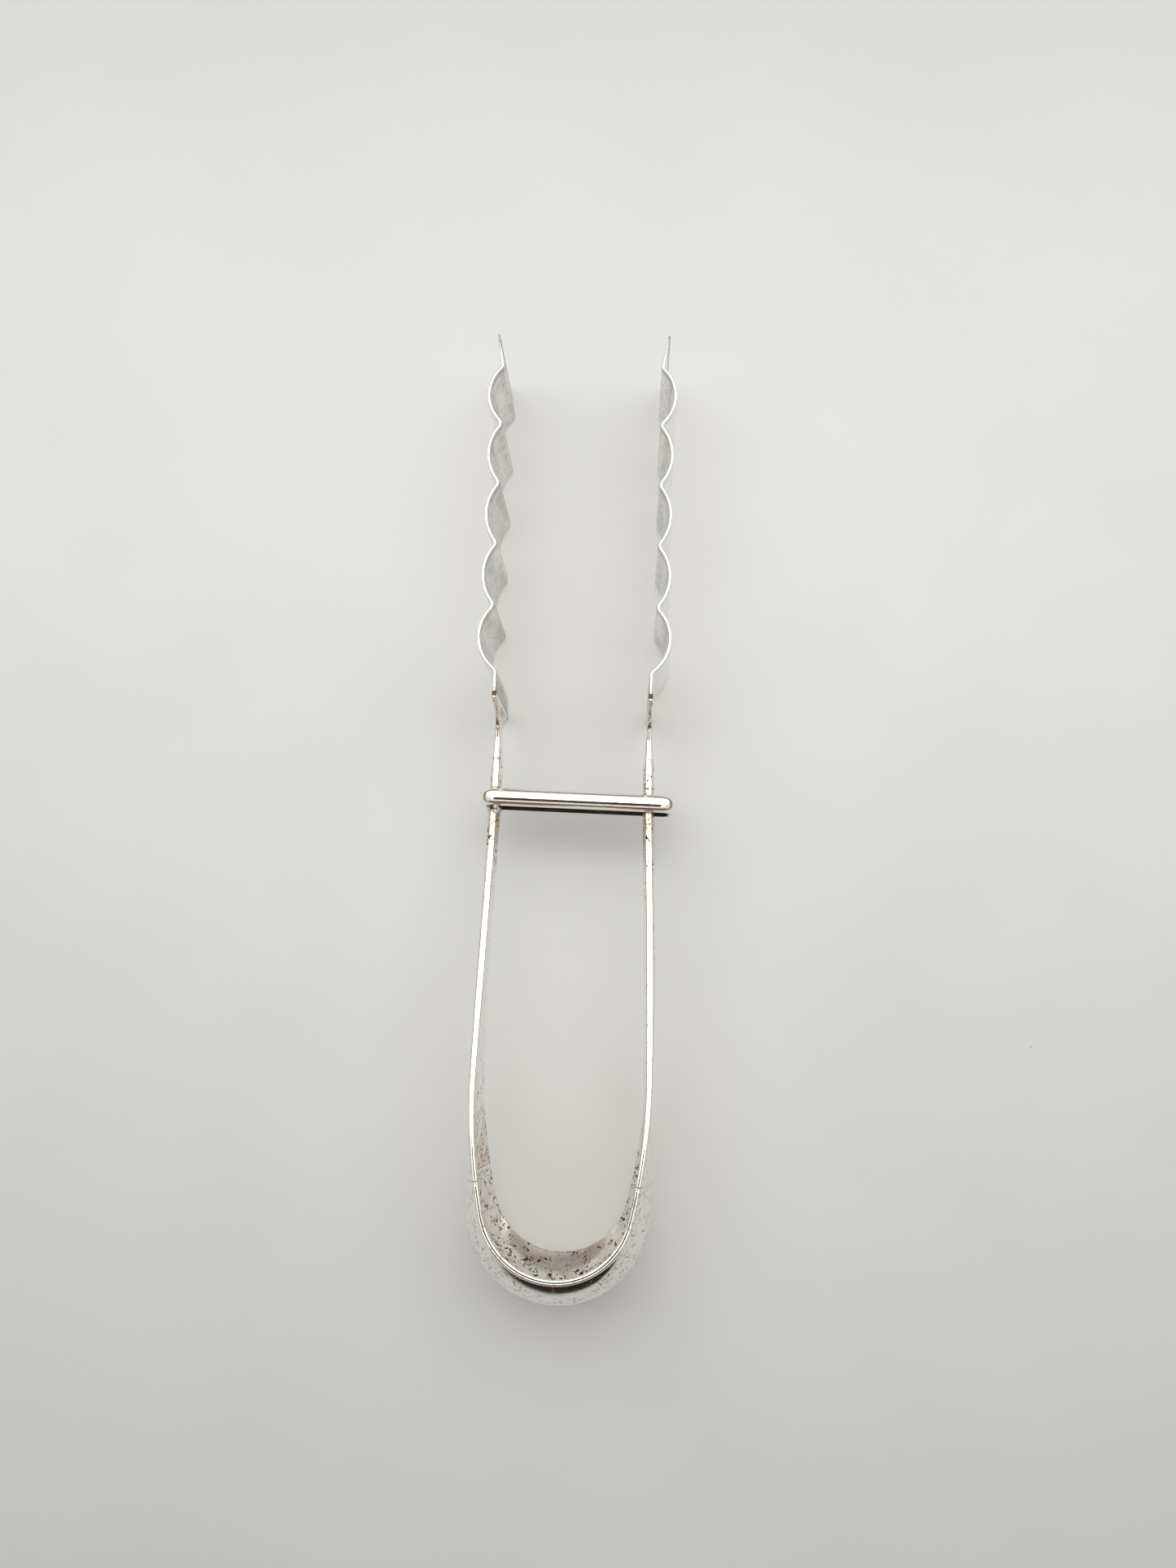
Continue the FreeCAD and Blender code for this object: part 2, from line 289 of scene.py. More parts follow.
def link_outward(name: str, mesh: bpy.types.Mesh) -> bpy.types.Object:
    """Turns a closed mesh's faces outwards and puts it in the scene.

    Args:
        name: Name of the piece.
        mesh: A closed mesh.

    Returns:
        The new object.
    """
    mesh.validate()
    mesh.update()
    corners = np.zeros(len(mesh.vertices) * 3)
    mesh.vertices.foreach_get("co", corners)
    corners = corners.reshape(-1, 3)
    mesh.calc_loop_triangles()
    triangles = np.array([t.vertices[:] for t in mesh.loop_triangles])
    a, b, c = (corners[triangles[:, i]] for i in range(3))
    if float(np.einsum("ij,ij->i", a, np.cross(b, c)).sum()) < 0:
        mesh.flip_normals()
    piece = bpy.data.objects.new(name, mesh)
    bpy.context.scene.collection.objects.link(piece)
    return piece


def wander(points: np.ndarray, spacing: float, seed: float) -> np.ndarray:
    """Smooth unevenness between -1 and 1 at each point, the same on every run.

    Args:
        points: Points in millimetres.
        spacing: Rough distance between one swell and the next, in millimetres.
        seed: Shifts the pattern, so that pieces differ.

    Returns:
        One value per point.
    """
    return np.array([noise.noise(Vector(p) / spacing + Vector((seed, seed, seed))) for p in points])


# ---------------------------------------------------------------- finishes
class Graph:
    """The shader nodes of one material, with short ways to add what the finishes share."""

    def __init__(self, name: str) -> None:
        """Starts an empty material with a Principled surface.

        Args:
            name: Name of the material.
        """
        self.material = bpy.data.materials.new(name)
        self.material.use_nodes = True
        self.tree = self.material.node_tree
        self.surface = self.tree.nodes["Principled BSDF"]
        self.place = self.tree.nodes.new("ShaderNodeTexCoord").outputs["Object"]

    def put(self, socket: bpy.types.NodeSocket, value: object) -> None:
        """Links a socket to another one, or sets it when the value is a plain number or colour.

        Args:
            socket: The input to fill.
            value: An output to link, or a number or colour.
        """
        if isinstance(value, bpy.types.NodeSocket):
            self.tree.links.new(value, socket)
        else:
            socket.default_value = value

    def patina(self) -> bpy.types.NodeSocket:
        """Reads the tarnish share of the mesh's points.

        Returns:
            The share at each place.
        """
        # On the loop this share also marks painted shade.
        reader = self.tree.nodes.new("ShaderNodeAttribute")
        reader.attribute_name = "patina"
        return reader.outputs["Fac"]

    def stretched(self, stretch: Place) -> bpy.types.NodeSocket:
        """Squeezes the object coordinates.

        Args:
            stretch: Factor along each axis.

        Returns:
            The squeezed coordinates.
        """
        node = self.tree.nodes.new("ShaderNodeMapping")
        node.inputs["Scale"].default_value = stretch
        self.put(node.inputs["Vector"], self.place)
        return node.outputs["Vector"]

    def noise(self, scale: float, detail: float = 3.0, stretch: Place | None = None) -> bpy.types.NodeSocket:
        """Cloudy noise.

        Args:
            scale: Swells to the metre.
            detail: How many finer layers it has.
            stretch: Factors along the axes, for streaks.

        Returns:
            The noise's value, about 0.5 on average.
        """
        node = self.tree.nodes.new("ShaderNodeTexNoise")
        node.inputs["Scale"].default_value = scale
        node.inputs["Detail"].default_value = detail
        self.put(node.inputs["Vector"], self.stretched(stretch) if stretch else self.place)
        return node.outputs["Fac"]

    def dots(self, scale: float, size: float) -> bpy.types.NodeSocket:
        """Scattered round dots, 1 at their middle and 0 outside.

        Args:
            scale: Dots to the metre.
            size: Radius of a dot as a share of the distance between dots.

        Returns:
            The share of dot at each place.
        """
        node = self.tree.nodes.new("ShaderNodeTexVoronoi")
        node.inputs["Scale"].default_value = scale
        self.put(node.inputs["Vector"], self.place)
        return self.between(node.outputs["Distance"], size, 0.0)

    def between(self, value: bpy.types.NodeSocket, start: float, end: float,
                low: float = 0.0, high: float = 1.0) -> bpy.types.NodeSocket:
        """Maps a value smoothly from one range to another, and holds it at the ends.

        Args:
            value: The value to map.
            start: Value that gives the low result.
            end: Value that gives the high result.
            low: Result at the start.
            high: Result at the end.

        Returns:
            The mapped value.
        """
        node = self.tree.nodes.new("ShaderNodeMapRange")
        node.interpolation_type = "SMOOTHSTEP"
        self.put(node.inputs["Value"], value)
        for socket, number in zip(("From Min", "From Max", "To Min", "To Max"), (start, end, low, high)):
            node.inputs[socket].default_value = number
        return node.outputs["Result"]

    def reckon(self, operation: str, a: object, b: object) -> bpy.types.NodeSocket:
        """Joins two values with an arithmetic operation.

        Args:
            operation: Name of the operation.
            a: First number or socket.
            b: Second number or socket.

        Returns:
            The result.
        """
        node = self.tree.nodes.new("ShaderNodeMath")
        node.operation = operation
        self.put(node.inputs[0], a)
        self.put(node.inputs[1], b)
        return node.outputs[0]

    def blend(self, share: bpy.types.NodeSocket, a: object, b: object) -> bpy.types.NodeSocket:
        """Mixes two colours.

        Args:
            share: How much of the second colour shows.
            a: First colour or socket.
            b: Second colour or socket.

        Returns:
            The mixed colour.
        """
        node = self.tree.nodes.new("ShaderNodeMix")
        node.data_type = "RGBA"
        self.put(node.inputs[0], share)
        self.put(node.inputs[MIX_FIRST], a)
        self.put(node.inputs[MIX_SECOND], b)
        return node.outputs[MIX_RESULT]

    def relief(self, height: bpy.types.NodeSocket, depth: float) -> None:
        """Raises the surface by a height map.

        Args:
            height: The map, from 0 to 1.
            depth: How far 1 stands above 0, in millimetres.
        """
        node = self.tree.nodes.new("ShaderNodeBump")
        node.inputs["Distance"].default_value = depth * MM
        self.put(node.inputs["Height"], height)
        self.put(self.surface.inputs["Normal"], node.outputs["Normal"])


@dataclass(frozen=True)
class SilverFinish:
    """Polished silver with hand marks, a warm film of tarnish and dark specks where patina holds.

    Attributes:
        name: Name of the material.
        clean: Colour of bare silver.
        film: Colour of the thin tarnish, which on the loop is near-black and also paints its shade.
        speck: Colour of the black tarnish left in pits.
        polish: Roughness of bare silver.
        film_share: How readily the film forms.
        speck_share: How readily specks form.
        dent_depth: Depth of the soft unevenness left by the hammer, in millimetres.
        dent_scale: Dents to the metre.
        scratch_depth: Depth of the fine scratches, in millimetres.
        grain: Factors that stretch the scratches along the piece.
        streak: Factors that stretch the film's clouds.
        clouds: Clouds of film to the metre.
        cloud_weight: How much the clouds weigh against the patina.
        film_range: Where the film starts to show and where it is full.
        crumbs: Specks to the metre.
        crumb_range: Where a speck starts and where it is black.
        gatherings: Groups of specks to the metre.
        gather_range: Where a group starts and where it is full.
        smears: Smears to the metre.
        smear_range: Where a smear starts and where it is full.
        smear_haze: Roughness that a smear adds.
        film_haze: Roughness that the film adds.
        speck_haze: Roughness that a speck adds.
        scratches: Scratches to the metre.
        pits: Pits to the metre.
        pit_size: Radius of a pit as a share of the distance between pits.
        pit_depth: Depth of a pit as a share of a dent's.
    """

    name: str
    clean: Colour = (0.93, 0.915, 0.885)
    film: Colour = (0.70, 0.61, 0.48)
    speck: Colour = (0.075, 0.055, 0.04)
    polish: float = 0.09
    film_share: float = 1.0
    speck_share: float = 1.0
    dent_depth: float = 0.05
    dent_scale: float = 110.0
    scratch_depth: float = 0.004
    grain: Place = (1.0, 0.12, 1.0)
    streak: Place = (1.0, 1.0, 1.0)
    clouds: float = 260.0
    cloud_weight: float = 0.9
    film_range: Span = (0.62, 1.35)
    crumbs: float = 1500.0
    crumb_range: Span = (0.50, 0.64)
    gatherings: float = 330.0
    gather_range: Span = (0.44, 0.60)
    smears: float = 90.0
    smear_range: Span = (0.35, 0.75)
    smear_haze: float = 0.07
    film_haze: float = 0.20
    speck_haze: float = 0.30
    scratches: float = 5200.0
    pits: float = 900.0
    pit_size: float = 0.34
    pit_depth: float = 0.5

    def material(self) -> bpy.types.Material:
        """Builds the material.

        Returns:
            The new material.
        """
        graph = Graph(self.name)
        patina = graph.patina()
        clouds = graph.noise(self.clouds, 6.0, self.streak)
        hold = graph.reckon("MULTIPLY", patina, self.film_share)
        weighed = graph.reckon("MULTIPLY", clouds, self.cloud_weight)
        film = graph.between(graph.reckon("ADD", hold, weighed), *self.film_range)
        crumbs = graph.noise(self.crumbs, 5.0)
        gather = graph.noise(self.gatherings, 3.0)
        single = graph.between(crumbs, *self.crumb_range)
        speckle = graph.reckon("MULTIPLY", single, graph.between(gather, *self.gather_range))
        specks = graph.reckon("MULTIPLY", speckle, graph.reckon("MULTIPLY", patina, self.speck_share))

        worn = graph.blend(film, (*self.clean, 1.0), (*self.film, 1.0))
        graph.put(graph.surface.inputs["Base Color"], graph.blend(specks, worn, (*self.speck, 1.0)))
        graph.surface.inputs["Metallic"].default_value = 1.0

        hazy = graph.reckon("MULTIPLY", film, self.film_haze)
        smears = graph.between(
            graph.noise(self.smears, 4.0), *self.smear_range, self.polish, self.polish + self.smear_haze)
        crusted = graph.reckon("MULTIPLY", specks, self.speck_haze)
        rough = graph.reckon("ADD", graph.reckon("ADD", smears, hazy), crusted)
        graph.put(graph.surface.inputs["Roughness"], rough)

        dents = graph.noise(self.dent_scale, 1.0)
        scratches = graph.noise(self.scratches, 2.0, self.grain)
        scratch_part = graph.reckon("MULTIPLY", scratches, self.scratch_depth / self.dent_depth)
        deep = graph.reckon("MULTIPLY", patina, self.pit_depth)
        pits = graph.reckon("MULTIPLY", graph.dots(self.pits, self.pit_size), deep)
        raised = graph.reckon("ADD", dents, scratch_part)
        graph.relief(graph.reckon("SUBTRACT", raised, pits), self.dent_depth)
        return graph.material


@dataclass(frozen=True)
class SolderFinish:
    """Silver solder that has darkened in the fire and in use.

    Attributes:
        name: Name of the material.
        bright: Colour where it has been rubbed.
        dark: Colour where it has oxidised.
        grain: Grains of crust to the metre.
        crust_range: Where the crust starts and where it is full.
        roughness: Roughness where it is rubbed and where it is crusted.
        lumps: Lumps to the metre.
        lump_depth: Depth of the lumps, in millimetres.
    """

    name: str
    bright: Colour = (0.88, 0.85, 0.80)
    dark: Colour = (0.085, 0.055, 0.04)
    grain: float = 1100.0
    crust_range: Span = (0.85, 1.25)
    roughness: Span = (0.20, 0.48)
    lumps: float = 1400.0
    lump_depth: float = 0.06

    def material(self) -> bpy.types.Material:
        """Builds the material.

        Returns:
            The new material.
        """
        graph = Graph(self.name)
        hold = graph.reckon("ADD", graph.patina(), graph.noise(self.grain, 5.0))
        crust = graph.between(hold, *self.crust_range)
        graph.put(graph.surface.inputs["Base Color"], graph.blend(crust, (*self.bright, 1.0), (*self.dark, 1.0)))
        graph.surface.inputs["Metallic"].default_value = 1.0
        graph.put(graph.surface.inputs["Roughness"], graph.between(crust, 0.0, 1.0, *self.roughness))
        graph.relief(graph.noise(self.lumps, 4.0), self.lump_depth)
        return graph.material


@dataclass(frozen=True)
class TableFinish:
    """Matt white table top with faint smudges and a few crumbs of dust.

    Attributes:
        name: Name of the material.
        colour: Colour of the clean top.
        dust: Colour of a crumb.
        painted_bounce_glow: Painted glow of the top, standing in for light the bright room throws back into the
            shade.
        smudge: How bright a smudge is beside the clean top.
        smudge_range: Where a smudge starts and where it is full.
        crumb_size: Radius of a crumb as a share of the distance between crumbs.
        crumb_range: Where crumbs start to lie and where they all do.
        roughness: Roughness of the smoothest and the roughest places.
        sheen: Specular level.
        tooth: Depth of the fine grain, in millimetres.
    """

    name: str
    colour: Colour = (0.80, 0.80, 0.785)
    dust: Colour = (0.30, 0.28, 0.26)
    painted_bounce_glow: float = 0.13
    smudge: float = 0.975
    smudge_range: Span = (0.3, 0.7)
    crumb_size: float = 0.012
    crumb_range: Span = (0.50, 0.56)
    roughness: Span = (0.50, 0.62)
    sheen: float = 0.25
    tooth: float = 0.01

    def material(self) -> bpy.types.Material:
        """Builds the material.

        Returns:
            The new material.
        """
        graph = Graph(self.name)
        cloud = graph.between(graph.noise(14.0, 5.0), *self.smudge_range)
        shade = tuple(channel * self.smudge for channel in self.colour)
        top = graph.blend(cloud, (*self.colour, 1.0), (*shade, 1.0))
        crumbs = graph.reckon(
            "MULTIPLY", graph.dots(34.0, self.crumb_size), graph.between(graph.noise(9.0), *self.crumb_range))
        graph.put(graph.surface.inputs["Base Color"], graph.blend(crumbs, top, (*self.dust, 1.0)))
        rough = graph.between(graph.noise(30.0, 4.0), *self.smudge_range, *self.roughness)
        graph.put(graph.surface.inputs["Roughness"], rough)
        graph.surface.inputs["Specular IOR Level"].default_value = self.sheen
        # Painted light: the top glows faintly in its own colour, which lifts its shadows as bounced light would.
        graph.surface.inputs["Emission Color"].default_value = (*self.colour, 1.0)
        graph.surface.inputs["Emission Strength"].default_value = self.painted_bounce_glow
        graph.relief(graph.noise(700.0, 3.0), self.tooth)
        return graph.material


# ---------------------------------------------------------------- the arm's line and section
@dataclass
class ArmLine:
    """Middle line of an arm, from the middle of the bow to the blade's heel, seen from above.

    Attributes:
        widest_half_spread: Half the widest distance between the arms' middle lines.
        widest_from_bow: How far up from the bow the arms are widest.
        bow_swell: How much wider the arms are there than the bow's own radius.
        draw_in: How much the arms draw in again towards the blades.
        length_to_heel: From the bow's middle line to the shank's end, along Y.
    """

    widest_half_spread: float = 22.5
    widest_from_bow: float = 48.0
    bow_swell: float = 3.5
    draw_in: float = 1.9
    length_to_heel: float = 146.0

    def __post_init__(self) -> None:
        """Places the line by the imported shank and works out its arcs."""
        self.bow_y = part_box("right_shank")[1].y / MM - self.length_to_heel
        low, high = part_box("spring_bow")
        self.middle_z = (low.z + high.z) / 2 / MM
        radius = self.widest_half_spread - self.bow_swell
        rise = self.widest_from_bow - radius
        turn = 2 * (math.atan(rise / self.bow_swell) - math.pi / 4)
        run = self.length_to_heel - self.widest_from_bow
        lean = 2 * math.atan(self.draw_in / run)
        lean_radius = run / 2 / math.sin(lean)
        side_radius = radius + rise / math.cos(turn)
        self.arcs = [
            (radius, turn), (side_radius, math.pi / 2 - turn), (lean_radius, lean), (-lean_radius, lean)]
        self.length = sum(abs(arc_radius) * arc_turn for arc_radius, arc_turn in self.arcs)

    def at(self, distance: float) -> tuple[float, float, float]:
        """Gives a place on the right arm.

        Args:
            distance: Length along the line from the middle of the bow.

        Returns:
            X, Y and the heading in radians, which is 0 along +X and a quarter turn along +Y.
        """
        left = distance
        x, y, heading = 0.0, self.bow_y, 0.0
        for radius, turn in self.arcs:
            share = min(1.0, left / (abs(radius) * turn))
            after = heading + math.copysign(1.0, radius) * turn * share
            x += radius * (math.sin(after) - math.sin(heading))
            y += radius * (math.cos(heading) - math.cos(after))
            heading = after
            left -= abs(radius) * turn * share
            if left <= 0:
                break
        return x, y, heading

    def distance_at(self, y: float) -> float:
        """Finds, by halving, where the arm reaches a Y.

        Args:
            y: The Y to reach, in millimetres.

        Returns:
            Length along the line from the middle of the bow.
        """
        low, high = 0.0, self.length
        near_enough = 1e-4
        while high - low > near_enough:
            middle = (low + high) / 2
            if self.at(middle)[1] < y:
                low = middle
            else:
                high = middle
        return low


@dataclass
class ArmSection:
    """The section across an arm: a thin dished strip at the bow and a crowned rod along the shank.

    Attributes:
        bow_width: Width of the strip at the middle of the bow.
        bow_thickness: Its thickness.
        bow_dish: How far its middle bulges outwards.
        dish_length: Length along the arm over which the dish dies away.
        face_crown: Crown of the strip's faces.
        rod_width: Width of the shank's rod.
        rod_thickness: Its thickness.
        rod_crown: Crown of its faces.
        narrowing: Where the width changes, along the arm.
        thickening: Where the thickness changes.
        thinning: Length over which the rod thins towards the blade.
        end_thickness: Thickness at the blade.
        rim_shoulder: Height of a rim's shoulders, as a share of half its thickness.
        rim_top: Height of the poles at its top, as the same share.
        rim_top_width: Their distance from the middle, as the same share.
        softness: How much the corners between faces and rims are rubbed over.
        counts: Points across a face, over the upper rim and over half the lower rim.
    """

    bow_width: float = 29.0
    bow_thickness: float = 1.8
    bow_dish: float = 7.9
    dish_length: float = 58.0
    face_crown: float = 0.12
    rod_width: float = 6.8
    rod_thickness: float = 3.1
    rod_crown: float = 0.4
    narrowing: tuple[float, float] = (20.0, 105.0)
    thickening: tuple[float, float] = (36.0, 92.0)
    thinning: float = 20.0
    end_thickness: float = 1.3
    rim_shoulder: float = 0.9
    rim_top: float = 1.15
    rim_top_width: float = 0.85
    softness: float = 0.10
    counts: tuple[int, int, int] = (26, 14, 7)

    def outline(self, distance: float, length: float, proud: float = 0.0,
                half_width: float | None = None) -> np.ndarray:
        """Outline of the section at a distance along the arm.

        Args:
            distance: Length along the arm from the middle of the bow.
            length: The whole length of the arm's line.
            proud: How far the outline stands outside the arm's skin.
            half_width: Half the width, where it isn't the arm's own.

        Returns:
            Rows of (outwards, upwards) in millimetres, from the middle of the lower rim.
        """
        own_half = ease(distance, *self.narrowing, self.bow_width / 2, self.rod_width / 2)
        half = (half_width or own_half) + proud
        thickness = ease(distance, *self.thickening, self.bow_thickness, self.rod_thickness)
        shrink = ease(distance, length - self.thinning, length, 1.0, self.end_thickness / self.rod_thickness)
        crown = ease(distance, *self.narrowing, self.face_crown, self.rod_crown) * shrink
        rim = (thickness * shrink - 2 * crown) / 2 + proud
        crown *= (own_half / half) ** 2
        dish = ease(distance, 0.0, self.dish_length, self.bow_dish, 0.0)
        flat = half - rim
        shoulder, top, reach = flat + self.rim_shoulder * rim, flat + self.rim_top * rim, self.rim_top_width * rim
        upper = bezier([
            (rim, flat), (rim, shoulder), (reach, top), (-reach, top), (-rim, shoulder), (-rim, flat),
        ], RIM_SAMPLES)
        lower = -upper
        middle = len(lower) // 2
        sides = [
            lower[middle:],
            bezier([(rim, -flat), (rim + 2 * (dish + crown), 0.0), (rim, flat)], FACE_SAMPLES),
            upper,
            bezier([(-rim, flat), (-rim + 2 * (dish - crown), 0.0), (-rim, -flat)], FACE_SAMPLES),
            lower[:middle + 1],
        ]
        face, round_rim, half_rim = self.counts
        return soften(sides, [half_rim, face, round_rim, face, half_rim], self.softness)


@dataclass
class Arm:
    """One arm's geometry.

    Attributes:
        side: Which arm it is.
        line: Its middle line.
        section: The section carried along the line.
    """

    side: Side
    line: ArmLine = field(default_factory=ArmLine)
    section: ArmSection = field(default_factory=ArmSection)

    def ring(self, distance: float, proud: float = 0.0, half_width: float | None = None) -> np.ndarray:
        """Points of the arm's skin at one station.

        Args:
            distance: Length along the arm from the middle of the bow.
            proud: How far the points stand outside the skin.
            half_width: Half the width, where it isn't the arm's own.

        Returns:
            Rows of X, Y and Z in millimetres.
        """
        x, y, heading = self.line.at(distance)
        outline = self.section.outline(distance, self.line.length, proud, half_width)
        out, up = outline[:, 0], outline[:, 1]
        across = x + out * math.sin(heading)
        along = y - out * math.cos(heading)
        return np.stack([across * self.side.value, along, self.line.middle_z + up], axis=1)

    def facing_in(self) -> np.ndarray:
        """Tells which points of a ring belong to the inner face.

        Returns:
            1 or 0 for each point.
        """
        face, round_rim, half_rim = self.section.counts
        share = np.zeros(2 * (face + half_rim) + round_rim)
        start = half_rim + face + round_rim
        share[start:start + face] = 1.0
        return share

    def on_rims(self) -> np.ndarray:
        """Tells which points of a ring belong to a rim.

        Returns:
            1 or 0 for each point.
        """
        face, round_rim, half_rim = self.section.counts
        share = np.ones(2 * (face + half_rim) + round_rim)
        share[half_rim:half_rim + face] = 0.0
        return share - self.facing_in()


# ---------------------------------------------------------------- the bow
@dataclass
class SpringBow:
    """The dished strip at the hand end, made in two halves that each flex with their own arm.

    Attributes:
        end: Length along the arm at which the bow meets the shank.
        stations: Rings along each half.
        first_step: Length of the first step, so short that the halves' skins meet without a crease.
        hammer: How far the planished skin wanders, in millimetres.
        hammer_spacing: Distance from one swell of it to the next.
        film_fade: Heights above the bow's middle between which the inside's tarnish fades.
        film_left: Share of it that is left above.
        trough_width: Half the width of the trough that holds the most.
        inner_film: Tarnish over the whole inside.
        trough_film: What the trough adds.
        outer_film: Tarnish on the outside.
        bend_start: Height above the bow's middle at which it starts to bend.
        bend_inset: How far inside the seam the bend ends.
        bend_share: Share of the way to the seam at which it ends.
    """

    end: float = 33.3
    stations: int = 84
    first_step: float = 0.02
    hammer: float = 0.035
    hammer_spacing: float = 9.0
    film_fade: Span = (14.0, 44.0)
    film_left: float = 0.35
    trough_width: float = 6.5
    inner_film: float = 0.40
    trough_film: float = 0.6
    outer_film: float = 0.16
    bend_start: float = 1.0
    bend_inset: float = 1.6
    bend_share: float = 0.95

    def half(self, side: Side, finish: bpy.types.Material) -> bpy.types.Object:
        """Builds one half and hangs it between the bow and its arm.

        Args:
            side: Which half.
            finish: Its silver.

        Returns:
            The new piece.
        """
        arm = Arm(side)
        distances = [0.0, *np.linspace(self.first_step, self.end, self.stations)]
        rings = [arm.ring(d) for d in distances]
        facing = arm.facing_in()
        rings = [self.planished(ring) for ring in rings]
        points = np.vstack(rings)
        inner = np.tile(facing, len(rings))
        low_down = ease(points[:, 1] - arm.line.bow_y, *self.film_fade, 1.0, self.film_left)
        trough = swell(points[:, 2], arm.line.middle_z, self.trough_width)
        held = inner * low_down * (self.inner_film + self.trough_film * trough)
        patina = held + (1 - inner) * self.outer_film
        piece = Sweep(f"spring_bow_{side.word}_half", rings).build(patina)
        piece.data.materials.append(finish)
        seam = Vector(rings[-1].mean(axis=0)) * MM
        start = Vector((0.0, (arm.line.bow_y + self.bend_start) * MM, seam.z))
        inside = Vector((seam.x - side.value * self.bend_inset * MM, seam.y, seam.z))
        end = start.lerp(inside, self.bend_share)
        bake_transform(piece, "bow", side.body, start=start, end=end)
        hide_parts("spring_bow")
        return piece

    def planished(self, ring: np.ndarray) -> np.ndarray:
        """Lets the skin wander a little, as a hammered strip does.

        Args:
            ring: Points of the smooth skin at one station.

        Returns:
            The moved points.
        """
        shifts = wander(np.abs(ring), self.hammer_spacing, 3.1) * self.hammer
        ring = ring.copy()
        ring[:, 1] += shifts
        return ring


# ---------------------------------------------------------------- the shanks
@dataclass
class Shank:
    """The rod of one arm and the spade at its end that carries the blade.

    Attributes:
        side: Which arm it is on.
        start: Length along the arm at which the rod starts, past the bow's seam.
        rod_stations: Rings along the rod.
        spade_stations: Rings along the spade.
        spade_width: Width of the spade at its end.
        spade_edge: Length of its straight edge.
        spade_slope: Length over which its shoulder is steep.
        spade_root: Length over which the shoulder grows out of the rod.
        film: Tarnish over the whole shank.
        loop_films: Tarnish about the loop, as its share, its Y and its width.
        blade_film: Tarnish at the blade, as its share and its width.
        bow_fade: Heights above the bow's middle between which the inside's tarnish fades.
        bow_film: Tarnish on the inside beside the bow.
    """

    side: Side
    start: float = 33.7
    rod_stations: int = 150
    spade_stations: int = 56
    spade_width: float = 30.6
    spade_edge: float = 0.6
    spade_slope: float = 2.4
    spade_root: float = 7.0
    film: float = 0.10
    loop_films: tuple[Place, Place] = ((0.55, -4.0, 14.0), (0.5, -4.6, 3.2))
    blade_film: Span = (0.55, 5.0)
    bow_fade: Span = (22.0, 60.0)
    bow_film: float = 0.45

    def half_width(self, arm: Arm, distance: float) -> float:
        """Half the shank's width, with the spade's shoulder.

        Args:
            arm: The arm that the shank belongs to.
            distance: Length along the arm from the middle of the bow.

        Returns:
            Half the width in millimetres.
        """
        rod = arm.section.rod_width / 2
        full = self.spade_width / 2
        to_end = arm.line.length - distance
        shoulder = bezier([
            (self.spade_edge, full),
            (self.spade_edge + self.spade_slope, rod),
            (self.spade_edge + self.spade_slope + self.spade_root, rod),
        ], 60)
        own = ease(distance, *arm.section.narrowing, arm.section.bow_width / 2, rod)
        return max(own, float(np.interp(to_end, shoulder[:, 0], shoulder[:, 1])))

    def build(self, finish: bpy.types.Material) -> bpy.types.Object:
        """Builds the shank.

        Args:
            finish: Its silver.

        Returns:
            The new piece.
        """
        arm = Arm(self.side)
        spade_start = arm.line.length - self.spade_edge - self.spade_slope - self.spade_root
        rod = np.linspace(self.start, spade_start, self.rod_stations)
        spade = np.linspace(spade_start, arm.line.length, self.spade_stations)[1:]
        distances = np.concatenate([rod, spade])
        rings = [arm.ring(d, half_width=self.half_width(arm, d)) for d in distances]
        points = np.vstack(rings)
        y = points[:, 1]
        at_loop = sum(share * swell(y, middle, width) for share, middle, width in self.loop_films)
        blade_share, blade_width = self.blade_film
        at_blade = blade_share * swell(y, y.max(), blade_width)
        inner = np.tile(arm.facing_in(), len(rings))
        near_bow = ease(y - arm.line.bow_y, *self.bow_fade, self.bow_film, 0.0)
        patina = self.film + at_loop + at_blade + inner * near_bow
        piece = Sweep(self.side.node("shank_rod"), rings).build(patina)
        piece.data.materials.append(finish)
        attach(piece, self.side.body)
        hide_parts(self.side.node("shank"))
        return piece


